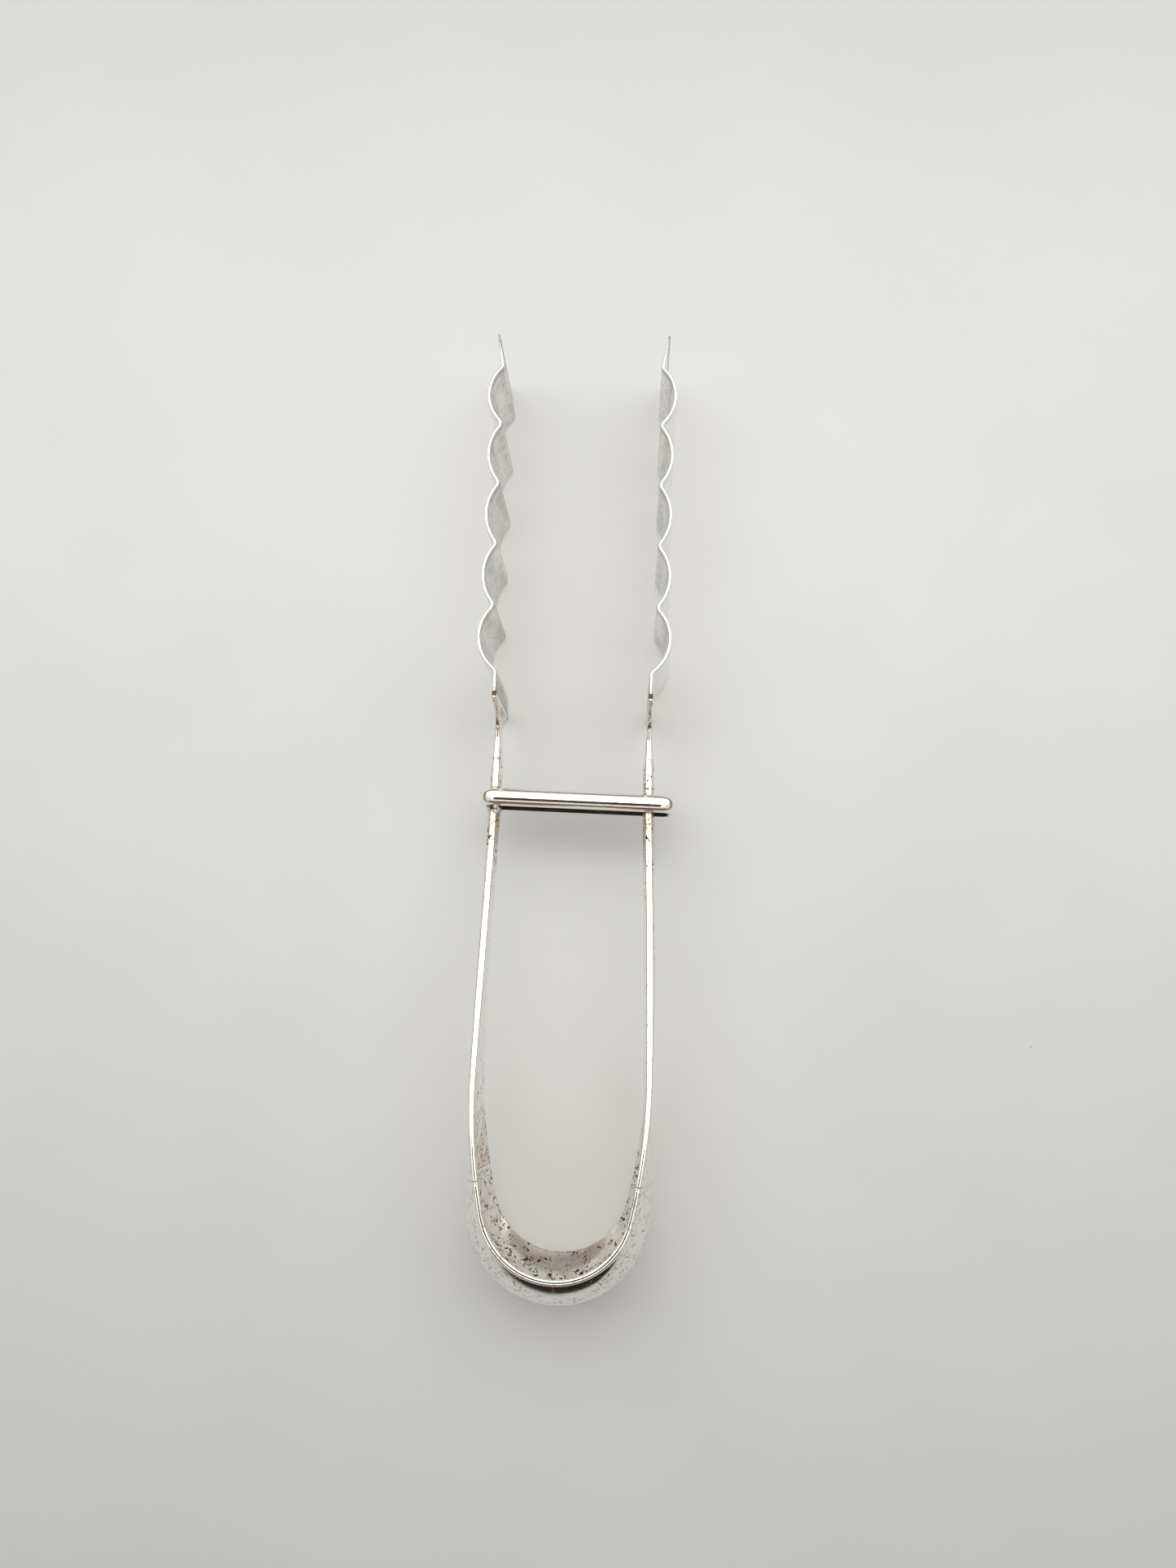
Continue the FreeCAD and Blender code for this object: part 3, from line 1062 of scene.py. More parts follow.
# ---------------------------------------------------------------- the blades
@dataclass
class ScallopedBlade:
    """One wide sheet blade, bent into five lobes and a straight tip.

    Attributes:
        side: Which arm it is on.
        thickness: Thickness of the sheet.
        crest_half_spread: Half the distance between the sheets' middle lines at the crests.
        heel_half_spread: The same at the heel.
        lobe_pitch: Distance from one crest to the next.
        lobe_depths: How far each lobe bulges out, from heel to tip.
        crest_radius: Bend radius of the crests.
        neck_radius: Bend radius at the start of the first lobe.
        neck_length: Straight length of sheet before it.
        tip_length: Straight length of sheet after the last crest.
        tip_lean: How far the tip leans out, in degrees.
        tip_thickness: Thickness at the very tip.
        tip_corner: Radius of the tip's corners.
        edge_softness: How much the sheet's edges are rubbed over.
        counts: Points across a face and across an edge.
        neck_steps: Rings along the straight neck.
        arc_step: Longest step along a bend.
        arc_least: Fewest rings round a bend.
        arc_spare: Rings that a bend has beyond what its length asks.
        tip_steps: Rings along the straight tip, and along its very end.
        tip_end_share: Share of the tip over which the rings draw closer.
        film: Tarnish over the whole blade.
        inner_film: What the inner face adds.
        pocket: What the hollows of the lobes add, as its share, its place past a crest and its width.
        heel_film: What the heel adds, as its share and its width.
        tip_film: What the tip adds.
    """

    side: Side
    thickness: float = 1.1
    crest_half_spread: float = 22.1
    heel_half_spread: float = 20.6
    lobe_pitch: float = 17.16
    lobe_depths: tuple[float, ...] = (3.3, 2.9, 2.8, 2.9, 3.5)
    crest_radius: float = 1.5
    neck_radius: float = 2.0
    neck_length: float = 4.8
    tip_length: float = 9.4
    tip_lean: float = 9.5
    tip_thickness: float = 0.55
    tip_corner: float = 1.6
    edge_softness: float = 0.3
    counts: tuple[int, int] = (16, 6)
    neck_steps: int = 4
    arc_step: float = 0.9
    arc_least: int = 8
    arc_spare: int = 6
    tip_steps: tuple[int, int] = (14, 15)
    tip_end_share: float = 0.2
    film: float = 0.10
    inner_film: float = 0.42
    pocket: Place = (0.42, 0.06, 0.22)
    heel_film: Span = (0.3, 3.0)
    tip_film: float = 0.9

    def arcs(self, heel: float) -> list[tuple[float, float, float, float, float]]:
        """Arcs of the sheet's middle line.

        Args:
            heel: Y of the blade's heel.

        Returns:
            Centre X and Y, signed radius, and the headings at the arc's start and end.
        """
        pitch = self.lobe_pitch
        lobe_x = self.crest_half_spread + self.lobe_depths[0]
        first_sum = ((pitch / 2) ** 2 + self.lobe_depths[0] ** 2) / (2 * self.lobe_depths[0])
        neck_sum = first_sum - self.crest_radius + self.neck_radius
        neck_depth = lobe_x - self.heel_half_spread
        neck_run = math.sqrt(2 * neck_depth * neck_sum - neck_depth ** 2)
        neck_turn = math.asin(neck_run / neck_sum)
        neck_y = heel + self.neck_length
        found = [(self.heel_half_spread + self.neck_radius, neck_y, self.neck_radius, 0.0, neck_turn)]
        crest_x = self.crest_half_spread + self.crest_radius
        turn_in = neck_turn
        for i, depth in enumerate(self.lobe_depths):
            arc_sum = ((pitch / 2) ** 2 + depth ** 2) / (2 * depth)
            radius = arc_sum - self.crest_radius
            turn = math.asin(pitch / 2 / arc_sum)
            y = neck_y + neck_run + i * pitch
            if i > 0:
                found.append((crest_x, y - pitch / 2, self.crest_radius, -turn_in, turn))
            start = turn if i > 0 else neck_turn
            found.append((self.crest_half_spread + depth - radius, y, -radius, start, -turn))
            turn_in = turn
        last_y = neck_y + neck_run + (len(self.lobe_depths) - 0.5) * pitch
        found.append((crest_x, last_y, self.crest_radius, -turn_in, math.radians(self.tip_lean)))
        return found

    def path(self, heel: float) -> np.ndarray:
        """Stations along the sheet.

        Args:
            heel: Y of the blade's heel.

        Returns:
            Rows of X, Y and heading, in millimetres and radians.
        """
        neck_shares = np.linspace(0.0, 1.0, self.neck_steps, endpoint=False)
        rows = [(self.heel_half_spread, heel + self.neck_length * share, 0.0) for share in neck_shares]
        for x, y, radius, start, end in self.arcs(heel):
            count = max(self.arc_least, int(abs((end - start) * radius) / self.arc_step) + self.arc_spare)
            for heading in np.linspace(start, end, count, endpoint=False):
                rows.append((x - radius * math.cos(heading), y + radius * math.sin(heading), heading))
        x, y, radius, _, end = self.arcs(heel)[-1]
        root = np.array([x - radius * math.cos(end), y + radius * math.sin(end)])
        along = np.array([math.sin(end), math.cos(end)])
        even, close = self.tip_steps
        straight = 1 - self.tip_end_share
        closing = np.sin(np.linspace(0, math.pi / 2, close))[1:]
        steps = [np.linspace(0.0, straight, even), straight + self.tip_end_share * closing]
        for share in np.concatenate(steps):
            point = root + along * self.tip_length * share
            rows.append((point[0], point[1], end))
        return np.array(rows)

    def ring(self, x: float, y: float, heading: float, to_tip: float, low: float, high: float) -> np.ndarray:
        """Points of the sheet's skin at one station.

        Args:
            x: Place of the sheet's middle across.
            y: Its place along.
            heading: Direction of the sheet, from +Y towards +X.
            to_tip: Length of sheet left before the tip.
            low: Z of the sheet's lower edge.
            high: Z of its upper edge.

        Returns:
            Rows of X, Y and Z in millimetres, from the middle of the lower edge.
        """
        thick = float(np.interp(to_tip, [0.0, self.tip_length], [self.tip_thickness, self.thickness]))
        nose = self.tip_thickness / 2
        if to_tip < nose:
            thick *= math.sqrt(max(1e-4, 1 - (1 - to_tip / nose) ** 2))
        cut = 0.0
        if to_tip < self.tip_corner:
            cut = self.tip_corner - math.sqrt(self.tip_corner ** 2 - (self.tip_corner - to_tip) ** 2)
        half = (high - low) / 2 - cut
        t = thick / 2
        corners = [(0.0, -half), (t, -half), (t, half), (-t, half), (-t, -half), (0.0, -half)]
        sides = [np.linspace(a, b, EDGE_SAMPLES) for a, b in zip(corners, corners[1:])]
        face, edge = self.counts
        softness = min(self.edge_softness, 0.45 * t)
        outline = soften(sides, [edge // 2, face, edge, face, edge // 2], softness)
        out, up = outline[:, 0], outline[:, 1]
        across = (x + out * math.cos(heading)) * self.side.value
        return np.stack([across, y - out * math.sin(heading), (low + high) / 2 + up], axis=1)

    def build(self, finish: bpy.types.Material) -> bpy.types.Object:
        """Builds the blade.

        Args:
            finish: Its silver.

        Returns:
            The new piece.
        """
        low, high = (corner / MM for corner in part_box(self.side.node("blade")))
        path = self.path(low.y)
        lengths = np.concatenate([[0.0], np.cumsum(np.hypot(*np.diff(path[:, :2], axis=0).T))])
        rings = [self.ring(*row, lengths[-1] - s, low.z, high.z) for row, s in zip(path, lengths)]
        points = np.vstack(rings)
        face, edge = self.counts
        around = len(rings[0])
        inner = np.zeros(around)
        inner[edge // 2 + face + edge:edge // 2 + 2 * face + edge] = 1.0
        last_crest = self.arcs(low.y)[-1][1]
        past_crest = np.mod((points[:, 1] - last_crest) / self.lobe_pitch, 1.0)
        pocket_share, pocket_at, pocket_width = self.pocket
        pocket = self.inner_film + pocket_share * swell(past_crest, pocket_at, pocket_width)
        heel_share, heel_width = self.heel_film
        at_heel = heel_share * swell(points[:, 1], low.y, heel_width)
        at_tip = ease(points[:, 1], high.y - self.tip_length, high.y, 0.0, self.tip_film)
        patina = self.film + np.tile(inner, len(rings)) * pocket + at_heel + at_tip
        piece = Sweep(self.side.node("blade_sheet"), rings).build(patina)
        piece.data.materials.append(finish)
        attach(piece, self.side.body)
        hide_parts(self.side.node("blade"))
        return piece


# ---------------------------------------------------------------- the loop
@dataclass
class BridgeLoop:
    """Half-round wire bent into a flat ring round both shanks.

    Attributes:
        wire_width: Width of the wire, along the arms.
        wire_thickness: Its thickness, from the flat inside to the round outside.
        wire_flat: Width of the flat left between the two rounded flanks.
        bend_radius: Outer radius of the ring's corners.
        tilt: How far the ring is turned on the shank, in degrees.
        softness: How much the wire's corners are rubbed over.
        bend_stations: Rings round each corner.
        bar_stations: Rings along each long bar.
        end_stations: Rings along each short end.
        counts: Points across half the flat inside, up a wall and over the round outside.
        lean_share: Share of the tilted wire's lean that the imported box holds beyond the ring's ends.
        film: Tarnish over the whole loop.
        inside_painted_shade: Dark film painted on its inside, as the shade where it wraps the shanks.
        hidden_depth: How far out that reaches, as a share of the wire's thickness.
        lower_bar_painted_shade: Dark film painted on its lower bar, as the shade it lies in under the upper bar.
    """

    wire_width: float = 4.8
    wire_thickness: float = 2.5
    wire_flat: float = 0.6
    bend_radius: float = 4.5
    tilt: float = 1.1
    softness: float = 0.16
    bend_stations: int = 26
    bar_stations: int = 34
    end_stations: int = 5
    counts: tuple[int, int, int] = (7, 4, 30)
    lean_share: float = 0.2
    film: float = 0.06
    inside_painted_shade: float = 0.75
    hidden_depth: float = 0.2
    lower_bar_painted_shade: float = 0.9

    def wire(self) -> np.ndarray:
        """Section of the wire.

        Returns:
            Rows of (outwards from the ring's inside, along the arms), from the middle of the inside.
        """
        half = self.wire_width / 2
        radius = (self.wire_width - self.wire_flat) / 2
        wall = self.wire_thickness - radius
        turn = np.linspace(0.0, math.pi / 2, ARC_SAMPLES)
        lower = np.stack([wall + radius * np.sin(turn), -half + radius * (1 - np.cos(turn))], axis=1)
        upper = lower[::-1] * np.array([1.0, -1.0])
        sides = [
            np.linspace((0.0, 0.0), (0.0, -half), EDGE_SAMPLES),
            np.linspace((0.0, -half), (wall, -half), WALL_SAMPLES),
            np.vstack([lower, upper]),
            np.linspace((wall, half), (0.0, half), WALL_SAMPLES),
            np.linspace((0.0, half), (0.0, 0.0), EDGE_SAMPLES),
        ]
        inside, up, over = self.counts
        return soften(sides, [inside, up, over, up, inside], self.softness)

    def path(self, low: Vector, high: Vector) -> list[tuple[float, float, float]]:
        """Stations on the ring's inside, as it lies in the X and Z plane.

        Args:
            low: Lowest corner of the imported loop's box, in millimetres.
            high: Its highest corner.

        Returns:
            X, Z and the outward angle of each station, once round the ring.
        """
        lean = math.sin(math.radians(self.tilt)) * self.wire_width / 2 * self.lean_share
        left, right = low.x + lean + self.wire_thickness, high.x - lean - self.wire_thickness
        bottom, top = low.z + self.wire_thickness, high.z - self.wire_thickness
        radius = self.bend_radius - self.wire_thickness
        corners = [
            (right - radius, bottom + radius, -90.0), (right - radius, top - radius, 0.0),
            (left + radius, top - radius, 90.0), (left + radius, bottom + radius, 180.0),
        ]
        rows = []
        for i, (x, z, start) in enumerate(corners):
            for angle in np.radians(np.linspace(start, start + 90.0, self.bend_stations)):
                rows.append((x + radius * math.cos(angle), z + radius * math.sin(angle), angle))
            bar_x, bar_z, angle = rows[-1]
            next_x, next_z, _ = corners[(i + 1) % len(corners)]
            end_x, end_z = next_x + radius * math.cos(angle), next_z + radius * math.sin(angle)
            count = self.bar_stations if abs(end_x - bar_x) > self.bend_radius else self.end_stations
            for share in np.linspace(0.0, 1.0, count)[1:-1]:
                rows.append((bar_x + (end_x - bar_x) * share, bar_z + (end_z - bar_z) * share, angle))
        return rows

    def build(self, finish: bpy.types.Material) -> bpy.types.Object:
        """Builds the loop.

        Args:
            finish: Its silver.

        Returns:
            The new piece.
        """
        low, high = (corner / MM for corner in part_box("bridge_loop"))
        section = self.wire()
        turn = -math.radians(self.tilt)
        rings = []
        for x, z, angle in self.path(low, high):
            out, along = section[:, 0], section[:, 1]
            across = x + out * math.cos(angle)
            height = z + out * math.sin(angle)
            rings.append(np.stack([
                across * math.cos(turn) - along * math.sin(turn),
                across * math.sin(turn) + along * math.cos(turn),
                height,
            ], axis=1))
        points = np.vstack(rings)
        # Painted shade: the loop's near-black film goes on the ring's inside and on its lower bar.
        hidden = np.tile(section[:, 0] < self.wire_thickness * self.hidden_depth, len(rings))
        under = ease(points[:, 2], low.z + self.wire_thickness, low.z + 2 * self.wire_thickness, 1.0, 0.0)
        patina = self.film + self.inside_painted_shade * hidden + self.lower_bar_painted_shade * under
        piece = Sweep("bridge_loop_ring", rings, closed=True).build(patina)
        piece.data.materials.append(finish)
        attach(piece, Side.LEFT.body)
        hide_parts("bridge_loop")
        return piece


# ---------------------------------------------------------------- solder
@dataclass
class Solder:
    """The three kinds of solder: a band round the bow's seam, a bead at the blade and a collar at the loop.

    Attributes:
        band_start: Length along the arm at which the bow's seam starts.
        band_length: Length of the band.
        band_proud: How far it stands out of the skin.
        bead_proud: How far the blade's bead swells past its packed box.
        collar_hidden: How thick the collar is inside the loop.
        collar_fillet: How far the collar climbs beside the loop.
        collar_lump: How uneven its skin is.
        collar_skin: How far its feathered ends stand out of the shank.
        collar_slope: How steeply it falls away from the loop.
        collar_films: Tarnish on the collar, as its middle and how far it wanders.
        band_profile: Places along the band, as shares of its length, and how proud it is there.
        band_film: Tarnish on the band's rims.
        bead_squareness: How square the bead's section is, across and along.
        bead_unevenness: How much its width wanders.
        bead_films: Tarnish on the bead, as its middle, what its ends add and over what length.
        bead_counts: Points round the bead and rings along it.
        collar_rings: Rings along the collar.
    """

    band_start: float = 33.25
    band_length: float = 0.5
    band_proud: float = 0.010
    bead_proud: float = 0.14
    collar_hidden: float = 0.38
    collar_fillet: float = 0.62
    collar_lump: float = 0.26
    collar_skin: float = 0.02
    collar_slope: float = 1.6
    collar_films: Span = (0.50, 0.42)
    band_profile: tuple[Span, ...] = (
        (0.0, 0.0), (0.12, 0.7), (0.3, 1.0), (0.5, 1.0), (0.7, 1.0), (0.88, 0.7), (1.0, 0.0))
    band_film: float = 0.2
    bead_squareness: Span = (0.35, 0.45)
    bead_unevenness: float = 0.05
    bead_films: Place = (0.12, 0.88, 1.1)
    bead_counts: tuple[int, int] = (24, 90)
    collar_rings: int = 60

    def place(self, piece: bpy.types.Object, finish: bpy.types.Material, body: str, node: str) -> None:
        """Dresses a piece of solder and hangs it on its body in place of its CAD node.

        Args:
            piece: The piece.
            finish: Its metal.
            body: Body that it moves with.
            node: CAD node that it stands for.
        """
        piece.data.materials.append(finish)
        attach(piece, body)
        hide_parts(node)

    def band(self, side: Side, finish: bpy.types.Material) -> bpy.types.Object:
        """Builds the band round the seam between bow and shank.

        Args:
            side: Which arm.
            finish: The bow's silver, to which the seam is polished flush.

        Returns:
            The new piece.
        """
        arm = Arm(side)
        rings = [
            arm.ring(self.band_start + self.band_length * share, self.band_proud * height)
            for share, height in self.band_profile
        ]
        patina = np.tile(self.band_film * arm.on_rims(), len(rings))
        piece = Sweep(side.node("bow_seam"), rings).build(patina)
        self.place(piece, finish, side.body, side.node("bow_solder"))
        return piece

    def bead(self, side: Side, finish: bpy.types.Material) -> bpy.types.Object:
        """Builds the bead of solder along the blade's heel.

        Args:
            side: Which arm.
            finish: Its solder.

        Returns:
            The new piece.
        """
        low, high = (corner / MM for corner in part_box(side.node("blade_solder")))
        centre = (low + high) / 2
        half_x, half_y = (high.x - low.x) / 2 + self.bead_proud, (high.y - low.y) / 2
        around, along = self.bead_counts
        turn = np.linspace(0.0, 2 * math.pi, around, endpoint=False) - math.pi / 2
        square_x, square_y = self.bead_squareness
        heights = np.linspace(low.z, high.z, along)
        rings = []
        for z in heights:
            uneven = 1 + self.bead_unevenness * noise.noise(Vector((side.value * 5.0, 0.0, z / 1.3)))
            bulge_x = np.sign(np.cos(turn)) * np.abs(np.cos(turn)) ** square_x * half_x * uneven
            bulge_y = np.sign(np.sin(turn)) * np.abs(np.sin(turn)) ** square_y * half_y
            rings.append(np.stack([centre.x + bulge_x, centre.y + bulge_y, np.full(len(turn), z)], axis=1))
        from_end = np.minimum(heights - low.z, high.z - heights)
        film, end_film, end_length = self.bead_films
        patina = np.repeat(film + end_film * swell(from_end, 0.0, end_length), around)
        piece = Sweep(side.node("blade_seam"), rings).build(patina)
        self.place(piece, finish, side.body, side.node("blade_solder"))
        return piece

    def collar(self, finish: bpy.types.Material) -> bpy.types.Object:
        """Builds the collar that fixes the loop to the left shank.

        Args:
            finish: Its solder.

        Returns:
            The new piece.
        """
        arm = Arm(Side.LEFT)
        low, high = (corner.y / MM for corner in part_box("loop_solder"))
        start, end = arm.line.distance_at(low), arm.line.distance_at(high)
        beside = BridgeLoop.wire_width / 2
        rings = []
        for distance in np.linspace(start, end, self.collar_rings):
            bare = arm.ring(distance)
            y = float(bare[:, 1].mean())
            reach = (-low if y < 0 else high) - beside
            climb = 1 - min(1.0, max(0.0, (abs(y) - beside) / reach))
            outside = abs(y) > beside
            thick = self.collar_fillet if outside else self.collar_hidden
            proud = self.collar_skin + thick * climb ** self.collar_slope
            lumps = wander(bare, 1.5, 2.4)[:, None] * (self.collar_lump * climb ** 0.5 if outside else 0.0)
            middle = bare.mean(axis=0)
            away = (bare - middle) / np.linalg.norm(bare - middle, axis=1)[:, None]
            rings.append(arm.ring(distance, proud) + away * np.abs(lumps))
        film, film_wander = self.collar_films
        patina = film + film_wander * wander(np.vstack(rings), 1.2, 6.1)
        piece = Sweep("loop_solder_collar", rings).build(patina)
        self.place(piece, finish, Side.LEFT.body, "loop_solder")
        return piece


# ---------------------------------------------------------------- table, light and camera
@dataclass(frozen=True)
class Table:
    """The plain pale top that the tongs lie on.

    Attributes:
        half_size: Half of each side, in metres.
    """

    half_size: float = 2.5

    def build(self) -> bpy.types.Object:
        """Lays the top under the lowest point of the tongs.

        Returns:
            The new top.
        """
        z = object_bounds()[0].z
        half = self.half_size
        mesh = bpy.data.meshes.new("table_top")
        corners = [(-half, -half, z), (half, -half, z), (half, half, z), (-half, half, z)]
        mesh.from_pydata(corners, [], [(0, 1, 2, 3)])
        top = bpy.data.objects.new("table_top", mesh)
        bpy.context.scene.collection.objects.link(top)
        mesh.materials.append(TableFinish("white_table").material())
        top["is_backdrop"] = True
        return top


@dataclass(frozen=True)
class SoftBox:
    """A square area light.

    Attributes:
        name: Name of the light.
        place: Where it hangs, in metres.
        size: Its two sides, in metres.
        radiance: How bright its face is.
        colour: Its colour.
    """

    name: str
    place: Place
    size: tuple[float, float]
    radiance: float
    colour: Colour = (1.0, 1.0, 1.0)

    def build(self) -> bpy.types.Object:
        """Hangs the light, facing the tongs.

        Returns:
            The new light.
        """
        lamp = bpy.data.lights.new(self.name, "AREA")
        lamp.shape = "RECTANGLE"
        lamp.size, lamp.size_y = self.size
        lamp.energy = self.radiance * math.pi * self.size[0] * self.size[1]
        lamp.color = self.colour
        holder = bpy.data.objects.new(self.name, lamp)
        holder.location = self.place
        holder.rotation_euler = (-Vector(self.place)).to_track_quat("-Z", "Y").to_euler()
        bpy.context.scene.collection.objects.link(holder)
        return holder


def hide_from_all_but_reflections(card: bpy.types.Object) -> None:
    """Leaves a card visible to glossy rays alone, so that it neither shows nor shades.

    Args:
        card: A card or screen that isn't in the scene yet.
    """
    card.visible_camera = False
    card.visible_diffuse = False
    card.visible_shadow = False
    card.visible_transmission = False
    bpy.context.scene.collection.objects.link(card)
    card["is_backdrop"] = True


@dataclass(frozen=True)
class Card:
    """A flat card that only reflections see.

    Attributes:
        name: Name of the card.
        place: Where its middle is, in metres.
        size: Its two sides, in metres.
        colour: How it shows in a reflection.
    """

    name: str
    place: Place
    size: tuple[float, float]
    colour: Colour

    def build(self) -> bpy.types.Object:
        """Hangs the card, facing the tongs.

        Returns:
            The new card.
        """
        half_x, half_y = self.size[0] / 2, self.size[1] / 2
        mesh = bpy.data.meshes.new(self.name)
        corners = [(-half_x, -half_y, 0), (half_x, -half_y, 0), (half_x, half_y, 0), (-half_x, half_y, 0)]
        mesh.from_pydata(corners, [], [(0, 1, 2, 3)])
        mesh.materials.append(glowing(f"{self.name}_paint", self.colour))
        card = bpy.data.objects.new(self.name, mesh)
        card.location = self.place
        card.rotation_euler = (-Vector(self.place)).to_track_quat("-Z", "Y").to_euler()
        hide_from_all_but_reflections(card)
        return card


@dataclass(frozen=True)
class BentScreen:
    """A strip bent across the bow's side of the table, which gives the metal its dark and copper bands.

    Attributes:
        name: Name of the screen.
        profile: Its bends, as Y, Z and half its width there, in metres.
        colours: Colour of each strip between two bends.
    """

    name: str
    profile: tuple[Place, ...]
    colours: tuple[Colour, ...]

    def build(self) -> bpy.types.Object:
        """Lays the screen out.

        Returns:
            The new screen.
        """
        corners = []
        for y, z, half_width in self.profile:
            corners += [(-half_width, y, z), (half_width, y, z)]
        faces = [(2 * i, 2 * i + 1, 2 * i + 3, 2 * i + 2) for i in range(len(self.profile) - 1)]
        mesh = bpy.data.meshes.new(self.name)
        mesh.from_pydata(corners, [], faces)
        for i, colour in enumerate(self.colours):
            mesh.materials.append(glowing(f"{self.name}_paint_{i + 1}", colour))
            mesh.polygons[i].material_index = i
        screen = bpy.data.objects.new(self.name, mesh)
        hide_from_all_but_reflections(screen)
        return screen


def glowing(name: str, colour: Colour) -> bpy.types.Material:
    """Makes a paint that shows one colour whatever the light.

    Args:
        name: Name of the material.
        colour: Its colour.

    Returns:
        The new material.
    """
    graph = Graph(name)
    graph.surface.inputs["Base Color"].default_value = (0.0, 0.0, 0.0, 1.0)
    graph.surface.inputs["Specular IOR Level"].default_value = 0.0
    graph.surface.inputs["Emission Color"].default_value = (*colour, 1.0)
    graph.surface.inputs["Emission Strength"].default_value = 1.0
    return graph.material


@dataclass(frozen=True)
class Studio:
    """The room: warm walls, a bright ceiling, a soft box overhead and dark things by the bow.

    Attributes:
        wall_low: Light from the walls near the table's level.
        wall_high: Light from above.
        warm_to: How steeply a direction climbs, from 0 level to 1 upright, where the warmth has gone.
    """

    wall_low: Colour = (0.36, 0.27, 0.20)
    wall_high: Colour = (0.19, 0.19, 0.187)
    warm_to: float = 0.35

    def walls(self) -> None:
        """Sets the light of the walls, warm at the table's level and paler above."""
        world = bpy.data.worlds.new("studio_walls")
        world.use_nodes = True
        tree = world.node_tree
        direction = tree.nodes.new("ShaderNodeTexCoord").outputs["Generated"]
        split = tree.nodes.new("ShaderNodeSeparateXYZ")
        tree.links.new(direction, split.inputs["Vector"])
        climb = tree.nodes.new("ShaderNodeMapRange")
        climb.interpolation_type = "SMOOTHSTEP"
        climb.inputs["From Max"].default_value = self.warm_to
        tree.links.new(split.outputs["Z"], climb.inputs["Value"])
        mix = tree.nodes.new("ShaderNodeMix")
        mix.data_type = "RGBA"
        tree.links.new(climb.outputs["Result"], mix.inputs[0])
        mix.inputs[MIX_FIRST].default_value = (*self.wall_low, 1.0)
        mix.inputs[MIX_SECOND].default_value = (*self.wall_high, 1.0)
        tree.links.new(mix.outputs[MIX_RESULT], tree.nodes["Background"].inputs["Color"])
        bpy.context.scene.world = world

    def build(self) -> None:
        """Sets the walls' light, and puts up the light, the cards and the screens."""
        self.walls()
        bpy.context.scene.view_settings.view_transform = "Standard"
        for part in (*self.overhead(), *self.beyond_the_bow()):
            part.build()

    def overhead(self) -> tuple[SoftBox, Card, Card, Card]:
        """Gives what hangs above the table.

        Returns:
            The light, the ceiling, the lamp's panel and the dark board round the camera.
        """
        return (
            SoftBox("overhead_box", place=(0.0, 0.16, 0.36), size=(1.1, 0.42), radiance=1.40,
                    colour=(1.0, 0.998, 0.985)),
            Card("ceiling", place=(0.0, 0.0, 0.9), size=(5.0, 5.0), colour=(0.76, 0.71, 0.65)),
            Card("lamp_panel", place=(0.0, -0.12, 0.8), size=(0.9, 0.9), colour=(1.3, 1.28, 1.22)),
            Card("camera_board", place=(-0.015, -0.110, 0.335), size=(0.15, 0.20),
                 colour=(0.040, 0.024, 0.018)),
        )

    def beyond_the_bow(self) -> tuple[BentScreen, BentScreen]:
        """Gives what stands at the bow's side of the table.

        Returns:
            The dark mat and the copper panel.
        """
        return (
            BentScreen(
                "dark_mat",
                profile=((-0.200, 0.004, 0.11), (-0.40, 0.004, 0.17)),
                colours=((0.014, 0.010, 0.009),),
            ),
            BentScreen(
                "copper_panel",
                profile=((-0.40, 0.0, 0.32), (-0.42, 0.05, 0.32), (-0.42, 0.13, 0.32), (-0.40, 0.24, 0.32)),
                colours=((0.23, 0.10, 0.055), (0.28, 0.17, 0.11), (0.085, 0.045, 0.030)),
            ),
        )


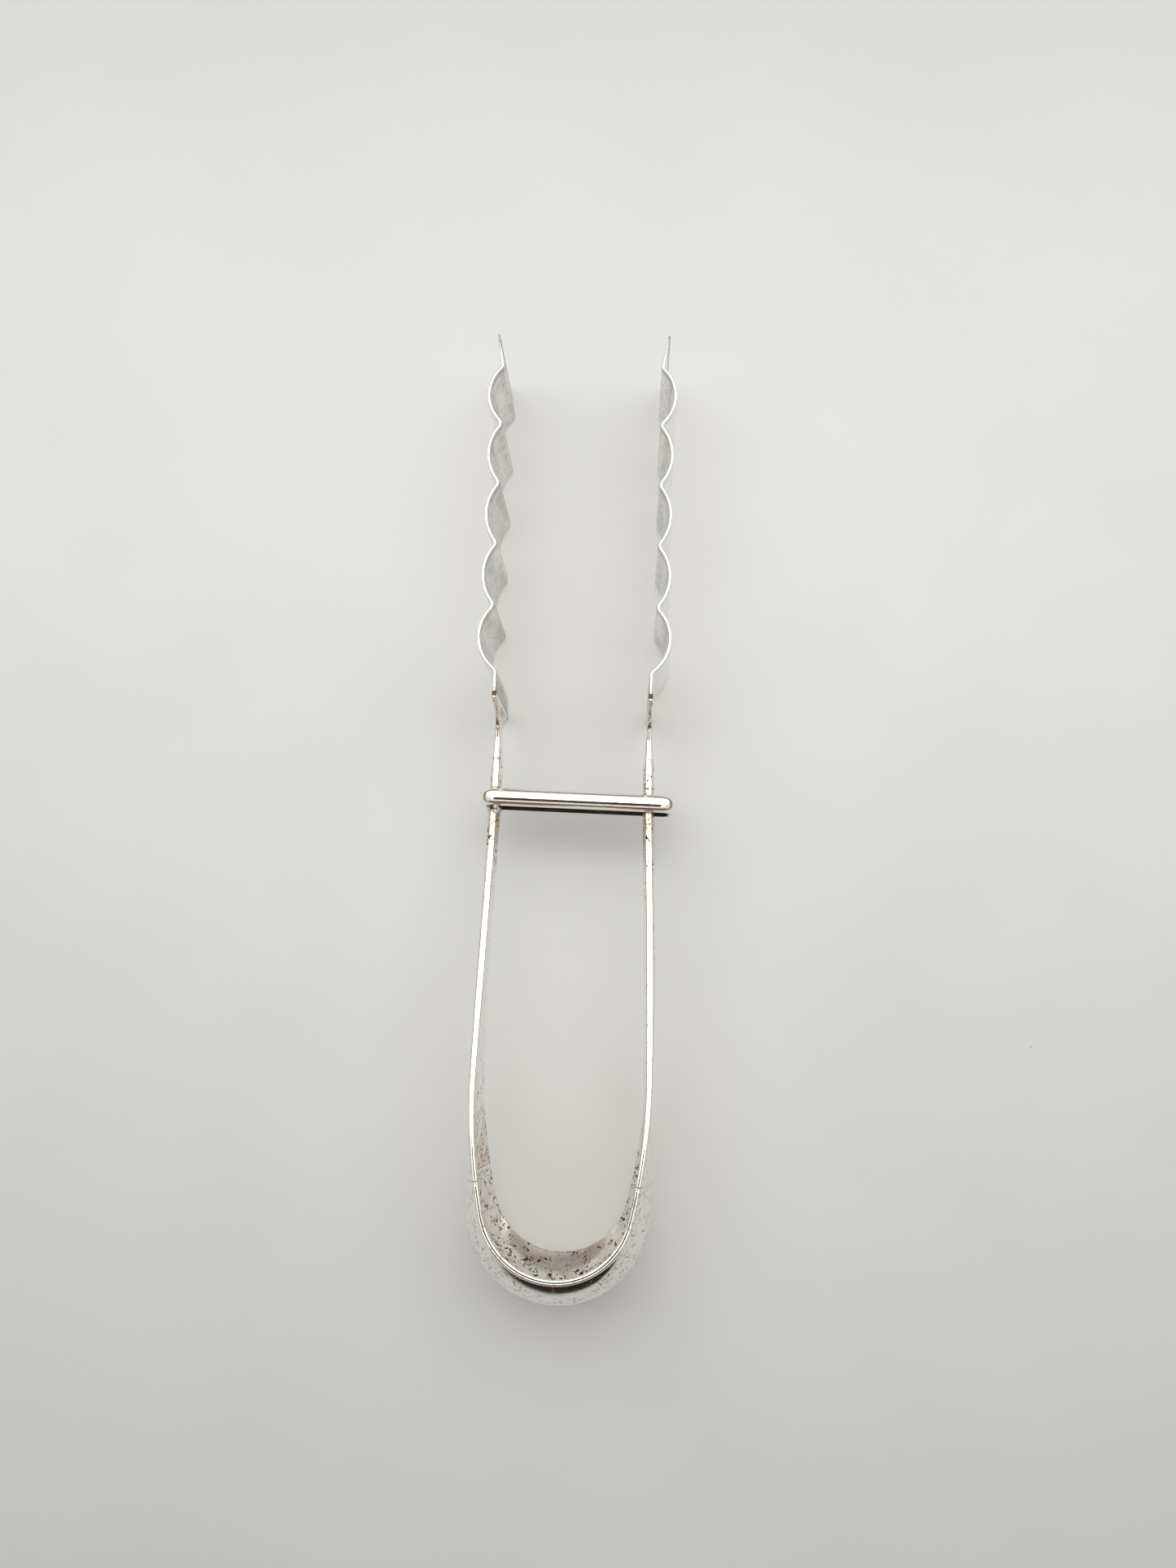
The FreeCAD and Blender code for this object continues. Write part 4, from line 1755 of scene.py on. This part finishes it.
@dataclass(frozen=True)
class ViewCamera:
    """The camera, looking down on the tongs from just beyond their middle.

    Attributes:
        aside: How far it stands to the right of the loop's middle, in metres.
        toward_bow: How far it stands from the loop towards the bow.
        height: How far it is above the table.
        tilt: Turn about X, in degrees.
        roll: Turn about Y, in degrees.
        turn: Turn about Z, in degrees.
        lens: Focal length, in millimetres.
        sensor: Long side of the sensor, in millimetres.
        clip: Nearest and farthest distance that shows, in metres.
    """

    aside: float = 0.0156
    toward_bow: float = 0.0431
    height: float = 0.322
    tilt: float = 8.99
    roll: float = 1.84
    turn: float = 1.73
    lens: float = 26.155
    sensor: float = 36.0
    clip: Span = (0.01, 20.0)

    def build(self) -> bpy.types.Object:
        """Puts the camera in place and makes it the scene's own.

        Returns:
            The new camera.
        """
        data = bpy.data.cameras.new("view_camera")
        data.lens = self.lens
        data.sensor_width = self.sensor
        data.sensor_fit = "AUTO"
        data.clip_start, data.clip_end = self.clip
        camera = bpy.data.objects.new("view_camera", data)
        camera.location = (self.aside, -self.toward_bow, self.height)
        camera.rotation_euler = Euler([math.radians(a) for a in (self.tilt, self.roll, self.turn)])
        bpy.context.scene.collection.objects.link(camera)
        bpy.context.scene.camera = camera
        return camera


def main() -> None:
    """Builds the tongs piece by piece, then the table, the light and the camera."""
    logging.basicConfig(level=logging.INFO, format="%(message)s")
    bow_silver = SilverFinish(
        "bow_silver", film=(0.62, 0.58, 0.51), speck_share=4.0, dent_depth=0.06, dent_scale=120.0).material()
    shank_silver = SilverFinish(
        "shank_silver", polish=0.08, speck_share=3.5, dent_depth=0.04, dent_scale=150.0).material()
    blade_silver = SilverFinish(
        "blade_silver", clean=(0.88, 0.88, 0.87), film=(0.52, 0.51, 0.49), polish=0.18, speck_share=0.8,
        dent_depth=0.05, grain=(1.0, 1.0, 0.06), streak=(1.0, 1.0, 0.14)).material()
    # The loop's near-black film is tarnish in its clouds and painted shade on the ring's inside and lower bar.
    loop_silver = SilverFinish(
        "loop_silver", film=(0.075, 0.055, 0.045), polish=0.07, dent_depth=0.03, grain=(0.12, 1.0, 1.0)).material()
    silver_solder = SolderFinish("silver_solder").material()

    bow, loop, solder = SpringBow(), BridgeLoop(), Solder()
    for side in Side:
        bow.half(side, bow_silver)
        Shank(side).build(shank_silver)
        ScallopedBlade(side).build(blade_silver)
        solder.band(side, bow_silver)
        solder.bead(side, silver_solder)
    loop.build(loop_silver)
    solder.collar(silver_solder)

    Table().build()
    Studio().build()
    ViewCamera().build()


if __name__ == "__main__":
    main()
